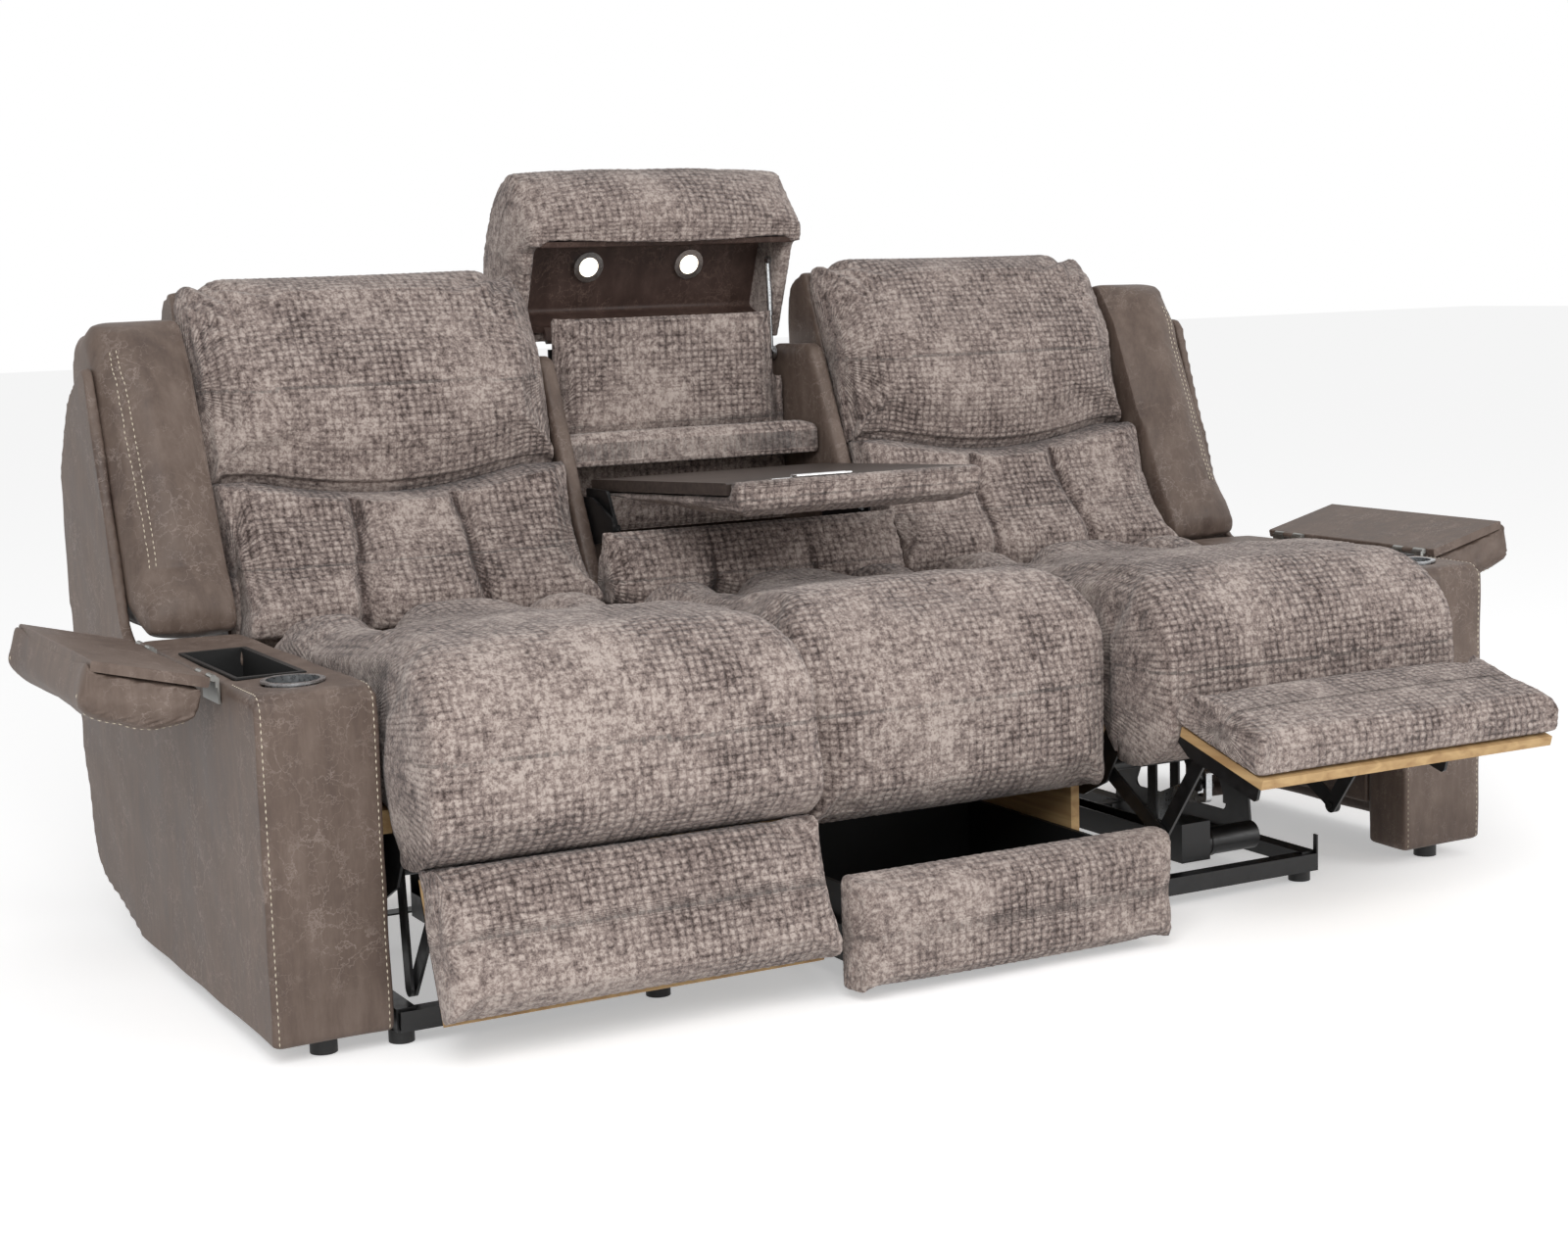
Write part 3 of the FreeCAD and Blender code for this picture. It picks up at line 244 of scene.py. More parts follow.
def make_wood(name, low, high, stretch, roughness):
    material, tree, shader = finish(name)
    solid = add(tree, "TexCoord").outputs["Object"]
    laid = add(tree, "Mapping", {"Vector": solid, "Scale": stretch})
    grain = add(tree, "TexNoise", {"Vector": laid, "Scale": 1.0, "Detail": 8.0, "Distortion": 0.6})
    colour = add(tree, "ValToRGB", {"Fac": grain}, ((0.35, low), (0.65, high)))
    relief = add(tree, "Bump", {"Strength": 0.15, "Distance": 0.0005, "Height": grain})
    tree.links.new(colour.outputs[0], shader.inputs["Base Color"])
    tree.links.new(relief.outputs[0], shader.inputs["Normal"])
    shader.inputs["Roughness"].default_value = roughness
    return material


FINISHES = {
    "leather": LEATHER,
    "chenille": CHENILLE,
    "liner": LINER,
    "plywood": make_wood("bare_plywood", "#a8855a", "#c9a878", (30, 4, 60), 0.7),
    "tray_wood": make_wood("dark_tray_foil", "#2e2724", "#463c37", (9, 120, 120), 0.4),
    "black_plastic": make_plain("moulded_abs", "#101010", "#191919", 900, 0.5, bump=0.0002),
    "black_steel": make_plain("painted_steel", "#0e0e0f", "#1a1a1b", 60, 0.38),
    "steel": make_plain("brushed_steel", "#a9abad", "#c4c6c8", 200, 0.3, 1.0),
    "steel_hinge": make_plain("zinc_plate", "#8b8b88", "#a3a39f", 80, 0.4, 1.0),
    "chrome": make_plain("chrome_plate", "#dcdcdc", "#ececec", 40, 0.22, 1.0),
}
print("finishes", len(FINISHES))

# %% [markdown]
# The record of the part names a finish for every node, so a short loop dresses them
# all. The strut's tube is black there, and the real one is bright, so it is changed.

# %% Finishes on the rigid pieces
SLOTS = {item["node"]: item["material_slot"] for item in frame["record"]["subparts"]}
for name, item in frame["nodes"].items():
    item.data.materials.clear()
    item.data.materials.append(FINISHES[SLOTS[name]])
frame["nodes"]["strut_tube"].data.materials[0] = FINISHES["steel"]
print("dressed", len(SLOTS), "nodes")

# %% [markdown]
# Two finishes have no node of their own: the cream thread of the seams, which is dull
# polyester, and the frosted lens of a reading lamp, which is lit and so gives light.

# %% Thread and lamp lens
THREAD = make_plain("cream_thread", "#cfc4ae", "#e2d8c4", 300, 0.8)
LENS, _, glow = finish("lamp_lens")
glow.inputs["Base Color"].default_value = linear("#fff6e6")
glow.inputs["Emission Color"].default_value = linear("#fff1d8")
glow.inputs["Emission Strength"].default_value = 4.0
print("thread and lens made")

# %% [markdown]
# Vertex moves are quick when the whole mesh is read as one array. Places are read
# and written in millimetres, with the depth counted from the arm fronts.

# %% Read and write a mesh
def read(piece):
    flat = np.empty(len(piece.data.vertices) * 3)
    piece.data.vertices.foreach_get("co", flat)
    places = flat.reshape(-1, 3) * 1000
    places[:, 1] -= ARM_FRONT
    return places


def write(piece, places):
    moved = places.copy()
    moved[:, 1] += ARM_FRONT
    piece.data.vertices.foreach_set("co", (moved / 1000).ravel())
    piece.data.update()


def outward(piece):
    flat = np.empty(len(piece.data.vertices) * 3)
    piece.data.vertex_normals.foreach_get("vector", flat)
    return flat.reshape(-1, 3)


def swing(places, pivot, degrees):
    # Turns places about an axis along X through the pivot, given as depth and height.
    c, s = math.cos(math.radians(degrees)), math.sin(math.radians(degrees))
    y, z = places[:, 1] - pivot[0], places[:, 2] - pivot[1]
    return np.stack([places[:, 0], pivot[0] + y * c - z * s, pivot[1] + y * s + z * c], axis=1)


def pick(piece):
    bpy.ops.object.select_all(action="DESELECT")
    bpy.context.view_layer.objects.active = piece
    piece.select_set(True)


def apply_modifier(piece, kind, **settings):
    pick(piece)
    made = piece.modifiers.new(kind.lower(), kind)
    for name, value in settings.items():
        setattr(made, name, value)
    bpy.ops.object.modifier_apply(modifier=made.name)


# %% [markdown]
# Foam under cloth pushes its cover out between the seams. A cloth simulation with a
# little pressure and no gravity gives that swell; the part that is stapled to the
# board is held by a vertex group. How far a point may move is capped.

# %% Copy a foam block and blow it up
def foam_copy(name, *nodes):
    # A node's mesh is loose triangles, so the copy is merged before it is used.
    joined = []
    for node in nodes:
        piece = bpy.data.objects.new(name, frame["nodes"][node].data.copy())
        bpy.context.collection.objects.link(piece)
        joined.append(piece)
    pick(joined[0])
    for piece in joined[1:]:
        piece.select_set(True)
    if len(joined) > 1:
        bpy.ops.object.join()
    piece = joined[0]
    bpy.ops.object.mode_set(mode="EDIT")
    bpy.ops.mesh.select_all(action="SELECT")
    bpy.ops.mesh.remove_doubles(threshold=0.00002)
    bpy.ops.mesh.normals_make_consistent(inside=False)
    bpy.ops.object.mode_set(mode="OBJECT")
    return piece


def inflate(piece, held, cap, pressure):
    start = read(piece)
    group = piece.vertex_groups.new(name="stapled")
    group.add([int(k) for k in np.nonzero(held)[0]], 1.0, "REPLACE")
    cloth = piece.modifiers.new("cloth", "CLOTH")
    cloth.settings.use_pressure = True
    cloth.settings.uniform_pressure_force = pressure
    cloth.settings.effector_weights.gravity = 0
    cloth.settings.quality = 4
    cloth.settings.vertex_group_mass = "stapled"
    cloth.settings.tension_stiffness = 12
    cloth.settings.bending_stiffness = 0.8
    for step in range(1, 21):
        bpy.context.scene.frame_set(step)
    pick(piece)
    bpy.ops.object.modifier_apply(modifier="cloth")
    bpy.context.scene.frame_set(1)
    moved = read(piece) - start
    length = np.linalg.norm(moved, axis=1, keepdims=True)
    write(piece, start + moved * np.minimum(1, cap / np.maximum(length, 1e-6)))
    piece.vertex_groups.clear()


# %% [markdown]
# The weave runs straight across a cushion and follows its side outline. The outline
# is read from the piece: the furthest point in each direction round its middle gives
# a closed line, and the length along that line is the second pattern coordinate.

# %% Lay the weave
def lay_weave(piece, places):
    middle = (places[:, 1:].max(axis=0) + places[:, 1:].min(axis=0)) / 2
    arms = places[:, 1:] - middle
    turn = np.arctan2(arms[:, 1], arms[:, 0])
    slot = np.clip(((turn + math.pi) / (2 * math.pi) * 240).astype(int), 0, 239)
    reach = np.zeros(240)
    np.maximum.at(reach, slot, np.hypot(arms[:, 0], arms[:, 1]))
    reach = np.where(reach > 0, reach, reach.mean())
    for _ in range(2):
        reach = (np.roll(reach, 1) + reach + np.roll(reach, -1)) / 3
    bearings = (np.arange(241) + 0.5) / 240 * 2 * math.pi - math.pi
    ring = np.append(reach, reach[0])
    line = np.stack([ring * np.cos(bearings), ring * np.sin(bearings)], axis=1)
    lengths = np.concatenate([[0], np.cumsum(np.hypot(*np.diff(line, axis=0).T))])
    along = np.interp(turn, bearings, lengths)
    layer = piece.data.uv_layers.new(name="weave")
    corner = np.empty(len(piece.data.loops), dtype=np.int64)
    piece.data.loops.foreach_get("vertex_index", corner)
    layer.data.foreach_set("uv", (np.stack([places[corner, 0], along[corner]], axis=1) / 1000).ravel())
    return along


def settle(piece, body, nodes, finish_slot, material=None):
    piece.data.materials.clear()
    piece.data.materials.append(material or FINISHES[finish_slot])
    piece.data.polygons.foreach_set("use_smooth", [True] * len(piece.data.polygons))
    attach(piece, body)
    if nodes:
        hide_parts(*nodes)
    print(piece.name, len(piece.data.polygons), "faces")


def cushion(name, body, nodes, shape=None, held=None, pivot=(0, 0), turn=0.0, shrink=5.0, cap=24.0,
            finish_slot="chenille", grid=12.0, pressure=4.0, soft=True, spread=None):
    piece = foam_copy(name, *nodes)
    write(piece, swing(read(piece), pivot, turn))
    apply_modifier(piece, "REMESH", mode="VOXEL", voxel_size=grid / 1000)
    write(piece, read(piece) - outward(piece) * shrink)
    if soft:
        places = read(piece)
        inflate(piece, held(places) if held else np.zeros(len(places), dtype=bool), cap, pressure)
    apply_modifier(piece, "SUBSURF", levels=1, render_levels=1)
    if not soft:
        write(piece, read(piece) + outward(piece) * shrink * 0.6)
    # Painted shade: the shapes raise this where the cover is pulled in or meets a neighbour, and the chenille is
    # darkened there.
    painted_shade = np.zeros(len(piece.data.vertices))
    if spread:
        places = read(piece)
        middle = (places[:, 0].max() + places[:, 0].min()) / 2
        places[:, 0] = middle + (places[:, 0] - middle) * spread / (places[:, 0].max() - middle)
        write(piece, places)
    if shape:
        write(piece, shape(read(piece), outward(piece), painted_shade))
    places = read(piece)
    if finish_slot == "chenille":
        along = lay_weave(piece, places)
        mark = piece.data.attributes.new("painted_shade", "FLOAT", "POINT")
        mark.data.foreach_set("value", np.clip(painted_shade, 0, 1))
        tufts = np.abs(np.sin(places[:, 0] * math.pi / 13.5) * np.sin(along * math.pi / 11.5))
        ruffle = np.sin(places[:, 0] * 0.31 + 2 * np.sin(along * 0.11)) * np.sin(along * 0.27 + places[:, 2] * 0.19)
        write(piece, places + outward(piece) * (1.1 * tufts + 0.5 * ruffle - 0.5)[:, None])
    write(piece, swing(read(piece), pivot, -turn))
    settle(piece, body, nodes, finish_slot)
    return piece


def mirrored(piece, name, body, nodes, finish_slot):
    twin = bpy.data.objects.new(name, piece.data.copy())
    bpy.context.collection.objects.link(twin)
    places = read(twin)
    places[:, 0] *= -1
    write(twin, places)
    twin.data.flip_normals()
    settle(twin, body, nodes, finish_slot)
    return twin


# %% [markdown]
# Small shaping moves: a bell pulls the cover in along a line as a seam does, and a
# smooth step lets a move start softly.

# %% Tufts and shoulders
def bell(distance, width):
    return np.exp(-(distance / width) ** 2)


def step_in(value, start, end):
    share = np.clip((value - start) / (end - start), 0, 1)
    return share * share * (3 - 2 * share)


def shoulder(places, middle, half, top, radius):
    # Moves both upper corners of a block onto arcs of the given radius.
    side = np.sign(places[:, 0] - middle)
    dx = np.abs(places[:, 0] - middle) - (half - radius)
    dz = places[:, 2] - (top - radius)
    both = (dx > 0) & (dz > 0)
    scale = np.maximum(dx, dz) / np.maximum(np.hypot(dx, dz), 1e-6)
    places[:, 0] = np.where(both, middle + side * (half - radius + dx * scale), places[:, 0])
    places[:, 2] = np.where(both, top - radius + dz * scale, places[:, 2])
    return places


# %% [markdown]
# The seat cushions are long pads that roll over the front. Near the back they are
# gathered into three lobes by short tucks, and they crown toward the middle. The
# shape is given by moving the points of the blown-up foam, since a tuck is no more
# than cloth that is pulled down along a line.

# %% Seat cushions
ROLL = 128.5


def seat_shape(middle, half, roll=True):
    def shape(places, normal, painted_shade):
        x = places[:, 0] - middle
        y = places[:, 1].copy()
        top = step_in(places[:, 2], 400, 520)
        crown = 12 * (1 - (x / half) ** 2) * top
        tucks = 0
        for line in (-0.34, 0.34):
            away = x - line * half + (y - 590) * 0.30 * np.sign(line)
            depth = step_in(y, 250, 600)
            tucks = tucks + np.exp(-(away / (12 + 26 * depth)) ** 2) * depth ** 1.4
            # Painted shade along each tuck.
            painted_shade[:] = np.maximum(painted_shade, 0.8 * bell(away, 7) * step_in(y, 380, 560) * top)
        edge = step_in(np.abs(x), half - 70, half)
        lobes = 10 * step_in(y, 300, 560) + 22 * bell(y - 545, 62)
        places[:, 2] += crown + top * (lobes - (42 + 12 * bell(y - 545, 62)) * tucks - 16 * edge ** 2)
        folds = 1.6 * np.sin(x * 0.05 + 1.5 * np.sin(y * 0.012)) * np.sin(y * 0.035)
        places[:, 2] += folds * top
        if roll:
            # The front keeps its round belly about the footrest pivot, down to the seam.
            dy, dz = y - FOOT[0], places[:, 2] - FOOT[1]
            reach = np.hypot(dy, dz)
            low = (dy < 30) & (dz < 8) & (reach > 90)
            share = np.where(low, step_in(-dz, -8, 60), 0)
            scale = 1 + share * (ROLL / np.maximum(reach, 1) - 1)
            places[:, 1] = FOOT[0] + dy * scale
            places[:, 2] = np.where(low, FOOT[1] + dz * scale, places[:, 2])
            # Painted shade along the foot of the roll, where it meets the footrest pad.
            painted_shade[:] = np.maximum(painted_shade, 0.7 * low * step_in(-dz, 95, 122) * (dy > -95))
        return places
    return shape


for side, sign in (("left", -1), ("right", 1)):
    cushion(f"seat_pillow_{side}", f"seat_{side}", [f"seat_cushion_{side}"],
            seat_shape(sign * SEAT_MIDDLE, SEAT_HALF), held=lambda p: (p[:, 2] < 350) & (p[:, 1] > 20),
            shrink=6, cap=20, spread=SEAT_HALF + 2)
cushion("seat_pillow_centre", "base", ["centre_seat_cushion"], seat_shape(0, CENTRE_HALF, roll=False),
        held=lambda p: (p[:, 2] < 345) & (p[:, 1] > 40), shrink=6, cap=20, spread=CENTRE_HALF + 3)

# %% [markdown]
# Each footrest ends in a flat pad on a board, and the drawer has the same kind of
# padded front. The outer face is plump and the ends are soft.

# %% Footrest pads and drawer front
def pad_shape(middle, half, low, high, bulge, roll=False):
    def shape(places, normal, painted_shade):
        x = np.clip((places[:, 0] - middle) / half, -1, 1)
        z = np.clip((places[:, 2] - (low + high) / 2) / ((high - low) / 2), -1, 1)
        face = step_in(-normal[:, 1], 0.2, 0.9)
        if roll:
            # The top end is hollowed to the front roll of the seat, so that they meet in a seam.
            dy = places[:, 1] - FOOT[0]
            ceiling = FOOT[1] - np.sqrt(np.maximum(129.5 ** 2 - dy ** 2, 1))
            near = step_in(places[:, 2], high - 24, high - 6)
            raised = np.minimum(places[:, 2] + near * (ceiling - high + 10), ceiling)
            places[:, 2] = np.where(near > 0, raised, places[:, 2])
            places[:, 1] -= 5 * step_in(places[:, 2], high - 34, high - 8) * step_in(-normal[:, 1], -0.2, 0.4)
            # Painted shade along the top, where the pad meets the seat roll.
            painted_shade[:] = np.maximum(painted_shade, 0.6 * step_in(places[:, 2], ceiling - 9, ceiling - 1))
        places[:, 1] -= face * bulge * (1 - x ** 4) * (1 - z ** 2)
        return places
    return shape


for side, sign, open_by in (("left", -1, LEFT_OPEN), ("right", 1, RIGHT_OPEN)):
    cushion(f"foot_pillow_{side}", f"footrest_{side}", [f"footrest_pad_{side}"],
            pad_shape(sign * SEAT_MIDDLE, 306, 45, 263, 5, roll=True), held=lambda p: p[:, 1] > -33,
            pivot=FOOT, turn=open_by, shrink=4, cap=10, grid=10, spread=309)
cushion("drawer_pillow", "drawer", ["drawer_front"], pad_shape(0, 290, 8, 194, 5),
        held=lambda p: p[:, 1] > -141, shrink=4, cap=10, grid=10, spread=293)

# %% [markdown]
# The end backs have a pillow for the head above a lumbar cushion. The seam between
# them dips in the middle, and two sewn channels divide the lumbar cushion in three.

# %% Back cushions
BACK_MIDDLE = 620
BACK_HALF = 316
SEAM_Z = 752


def from_shell(places, z):
    # Depth behind the leaning plane where the cushions meet the back shell.
    return places[:, 1] - 714 - 0.43 * (z - 468)


def seam_dip(places):
    x = (places[:, 0] - BACK_MIDDLE) / BACK_HALF
    dip = 30 * np.clip(1 - (x / 0.8) ** 2, 0, 1) ** 1.2 * bell(places[:, 2] - SEAM_Z, 95)
    places[:, 2] -= dip
    places[:, 1] -= 0.45 * dip
    return places


def lumbar_shape(places, normal, painted_shade):
    x = places[:, 0] - BACK_MIDDLE
    z = places[:, 2].copy()
    front = step_in(-normal[:, 1], 0.05, 0.6)
    grooves = 0
    for line in (-1, 1):
        away = x - line * (88 + 0.10 * (SEAM_Z - z)) + 6 * np.sin(z * 0.03)
        grooves = grooves + bell(away, 12)
        # Painted shade along each sewn channel.
        painted_shade[:] = np.maximum(painted_shade, bell(away, 6) * front)
    swell = 7 * np.cos(np.clip(np.abs(x) / 102, 0, 1) * math.pi / 2)
    places[:, 1] += front * (20 * grooves - 8 - swell)
    # Both ends reach their neighbours: up to the seam and down behind the seat.
    places[:, 2] += 13 * step_in(z, 700, 745) - 22 * (1 - step_in(z, 505, 560))
    # Painted shade along the top, where the cushion meets the pillow above.
    painted_shade[:] = np.maximum(painted_shade, step_in(z, 735, 746) * 0.8)
    return seam_dip(places)


def head_shape(places, normal, painted_shade):
    x = places[:, 0] - BACK_MIDDLE
    z = places[:, 2].copy()
    front = step_in(-normal[:, 1], 0.0, 0.6)
    bulge = (1 - (x / BACK_HALF) ** 4) * bell(z - 915, 150)
    ahead = 1 - step_in(from_shell(places, z), -120, -70)
    places[:, 1] -= front * 28 * np.clip(bulge, 0, 1)
    places[:, 0] += 12 * bell(z - 925, 120) * step_in(x, 180, BACK_HALF) * ahead
    around = np.arctan2(z - 1010, np.abs(x) - 225)
    pleats = np.abs(np.sin(around * 6 + 0.4)) ** 0.7
    corner = bell(np.hypot(np.abs(x) - 262, z - 1045), 60)
    places[:, 1] += front * 7 * (pleats - 0.4) * corner
    # Painted shade in the deepest corner pleats and along the foot, where the pillow meets the lumbar cushion.
    painted_shade[:] = np.maximum(painted_shade, 0.5 * (pleats > 0.93) * corner * front)
    painted_shade[:] = np.maximum(painted_shade, 0.8 * (1 - step_in(z, 757, 768)))
    places[:, 2] -= 13 * (1 - step_in(z, 762, 810))
    return seam_dip(shoulder(places, BACK_MIDDLE, BACK_HALF, 1122, 92))


def by_the_shell(places):
    return from_shell(places, places[:, 2]) > 0


lumbar = cushion("lumbar_pillow_right", "back_right", ["lumbar_cushion_right"], lumbar_shape,
                 held=by_the_shell, shrink=4, cap=16, grid=10, spread=BACK_HALF + 1)
head = cushion("head_pillow_right", "back_right", ["headrest_cushion_right"], head_shape,
               held=by_the_shell, shrink=4, cap=20, grid=10, spread=BACK_HALF + 3)
mirrored(lumbar, "lumbar_pillow_left", "back_left", ["lumbar_cushion_left"], "chenille")
mirrored(head, "head_pillow_left", "back_left", ["headrest_cushion_left"], "chenille")


# %% [markdown]
# A narrow leather bolster stands beside each end back and closes the corner over the
# arm. Its front bulges, its foot reaches down behind the lid, and beside the pillow
# for the head it is a little hollow, since that pillow swells over it.

# %% Side bolsters
def bolster_shape(places, normal, painted_shade):
    x = (places[:, 0] - 1020) / 78
    front = step_in(-normal[:, 1], 0.0, 0.8)
    z = places[:, 2].copy()
    low = 1 - step_in(z, z.min(), z.min() + 60)
    places[:, 2] -= 22 * low * step_in(places[:, 1], 645, 670)
    places[:, 1] -= front * 12 * np.clip(1 - x ** 2, 0, 1)
    places[:, 1] += front * 14 * step_in(z, 740, 800) * step_in(-x, -0.2, 0.7)
    return places


bolster = cushion("bolster_pillow_right", "back_right", ["side_bolster_right"], bolster_shape,
                  held=lambda p: p[:, 0] < 944, shrink=4, cap=10, grid=10, finish_slot="leather", spread=79.5)
mirrored(bolster, "bolster_pillow_left", "back_left", ["side_bolster_left"], "leather")

# %% [markdown]
# Behind the table hangs a lumbar flap. It is gathered along its lower edge, so it
# falls in three soft bulges. The ledge above the table is a thin pad.

# %% Lumbar flap, ledge and inner panel
def flap_shape(places, normal, painted_shade):
    x, z = places[:, 0].copy(), places[:, 2].copy()
    front = step_in(-normal[:, 1], -0.3, 0.5)
    lobes = np.abs(np.cos((x / 198) * math.pi)) ** 0.7
    low = 1 - step_in(z, 545, 645)
    places[:, 1] -= front * (20 * lobes * low - 5)
    places[:, 2] += low * 20 * (1 - lobes) * front - 8 * low * lobes * front
    for line in (-99, 99):
        # Painted shade along each gather line.
        painted_shade[:] = np.maximum(painted_shade, bell(x - line, 8) * low * front)
    return places


def ledge_shape(places, normal, painted_shade):
    # The front of the ledge is a fat roll, and its back ends at the panel, where a crease is painted as shade.
    y, z = places[:, 1].copy(), places[:, 2].copy()
    roll = 1 - step_in(y, 880, 975)
    places[:, 2] += np.where(z > 758, 18, -10) * (0.35 + 0.65 * roll)
    places[:, 1] -= 5 * (1 - step_in(y, 868, 890))
    # Painted shade along the back, at the panel.
    painted_shade[:] = np.maximum(painted_shade, step_in(y, 972, 984) * (z > 758))
    return places


cushion("flap_pillow", "base", ["lumbar_flap"], flap_shape, held=lambda p: p[:, 1] > 664,
        shrink=2, cap=10, grid=8, spread=CENTRE_HALF + 1)
cushion("ledge_pillow", "base", ["centre_ledge"], ledge_shape, held=lambda p: p[:, 2] < 748,
        shrink=3, cap=7, grid=8, spread=261.5)
cushion("inner_panel", "base", ["centre_back_panel"], held=lambda p: p[:, 1] > 992,
        shrink=2, cap=4, grid=8)

# %% [markdown]
# The centre headrest is a lid. Its cushion is arched along the lower edge, so it
# looks like the two beside it when it is closed.

# %% Headrest lid cushion and table pad
REST_HALF = 298


def in_recess(places):
    # The lining of the lid lies here; the foam behind it is glued down.
    y, z = places[:, 1] - REST[0], places[:, 2] - REST[1]
    inside = (np.abs(places[:, 0]) < 272) & (y > -222) & (y < 4) & (z < 100)
    return inside | ((y > -20) & (z < 40))


def rest_shape(places, normal, painted_shade):
    # The lid is turned closed for this, so its front edge hangs lowest.
    x = places[:, 0].copy()
    y, z = places[:, 1] - REST[0], places[:, 2] - REST[1]
    front = step_in(-normal[:, 1], 0.1, 0.7) * (1 - in_recess(places))
    places[:, 1] -= front * (8 + 24 * (1 - (x / REST_HALF) ** 2))
    lip = (1 - step_in(z, -40, 30)) * (y < -205)
    places[:, 2] -= lip * 22 * np.cos(np.clip(x / REST_HALF, -1, 1) * math.pi) * 0.5 + lip * 6
    return shoulder(places, 0, REST_HALF, REST[1] + 190, 60)


cushion("rest_pillow", "headrest_lid", ["rest_pad"], rest_shape, pivot=REST, turn=REST_OPEN,
        shrink=3, cap=16, grid=10, held=in_recess, spread=300)
cushion("table_pillow", "table", ["table_pad"], held=lambda p: (p[:, 1] > 260) & (p[:, 2] > 690),
        pivot=TABLE, turn=TABLE_TILT, shrink=3, cap=8, grid=8)

# %% [markdown]
# The arms are boxes of board with thin foam under leather cloth, and so are the
# shells behind the cushions. They keep their shape, with soft edges and faint folds.

# %% Arms, arm lids and shells
def creases(places, normal, painted_shade):
    fold = np.sin(places[:, 0] * 0.021 + 2.2 * np.sin(places[:, 2] * 0.013) + places[:, 1] * 0.017)
    fold = fold * np.sin(places[:, 2] * 0.024 + 1.7 * np.sin(places[:, 1] * 0.011))
    return places + normal * (1.2 * fold)[:, None]


def arm_shape(places, normal, painted_shade):
    # The leather is pulled round over the top front edge of the post.
    radius = 26
    dy, dz = radius - places[:, 1], places[:, 2] - (ARM_TOP - radius)
    both = (dy > 0) & (dz > 0) & (places[:, 2] < ARM_TOP + 6)
    scale = np.maximum(dy, dz) / np.maximum(np.hypot(dy, dz), 1e-6)
    places[:, 1] = np.where(both, radius - dy * scale, places[:, 1])
    places[:, 2] = np.where(both, ARM_TOP - radius + dz * scale, places[:, 2])
    return creases(places, normal, painted_shade)


def lid_shape(places, normal, painted_shade):
    # The leather wraps the free edges of the board, up to its lining.
    side = np.sign(places[:, 0].mean())
    c, s = math.cos(LID_TILT), math.sin(LID_TILT)
    across, rise = np.abs(places[:, 0]) - LID_HINGE[0], places[:, 2] - LID_HINGE[1]
    u, w, y = across * c + rise * s, rise * c - across * s, places[:, 1].copy()
    rim = np.maximum(step_in(u, 158, 178), np.maximum(1 - step_in(y, 145, 160), step_in(y, 597, 612)))
    top = step_in(w, -46, -17)
    u = u + 9 * step_in(u, 120, 178)
    w = np.minimum(w + 17 * rim * top, 1.0) - 9 * (1 - top) * step_in(u, 20, 90)
    places[:, 0] = side * (LID_HINGE[0] + u * c - w * s)
    places[:, 2] = LID_HINGE[1] + u * s + w * c
    places[:, 1] += 5 * step_in(y, 560, 612) - 9 * (1 - step_in(y, 145, 200))
    # The front end of a lid is gathered in fine pleats.
    end = step_in(-normal[:, 1], 0.5, 0.9)
    across = places[:, 2] + 0.25 * np.abs(places[:, 0])
    places[:, 1] += end * 1.8 * np.sin(across * 0.75 + 1.2 * np.sin(places[:, 0] * 0.05))
    return places


for side in ("left", "right"):
    cushion(f"lid_pillow_{side}", f"arm_lid_{side}", [f"arm_lid_pad_{side}"], lid_shape,
            shrink=2, cap=9, grid=9, finish_slot="leather")
    cushion(f"back_cover_{side}", f"back_{side}", [f"back_shell_{side}"], creases, shrink=3, grid=9,
            finish_slot="leather", soft=False)
arm_covers = cushion("arm_covers", "base", ["arm_shells"], arm_shape, shrink=2.5, grid=8, finish_slot="leather",
                     soft=False)
cushion("arm_side_covers", "base", ["arm_side_panels"], creases, shrink=2.5, grid=10, finish_slot="leather",
        soft=False)
cushion("centre_back_cover", "base", ["centre_back_shell"], creases, shrink=2.5, grid=10, finish_slot="leather",
        soft=False)

# %% [markdown]
# Cream thread shows along the seams of the leather. Each stitch is a small pointed
# bead of eight faces, laid on the cover where it lies nearest to the drawn line, and
# all the stitches of one line are one mesh.

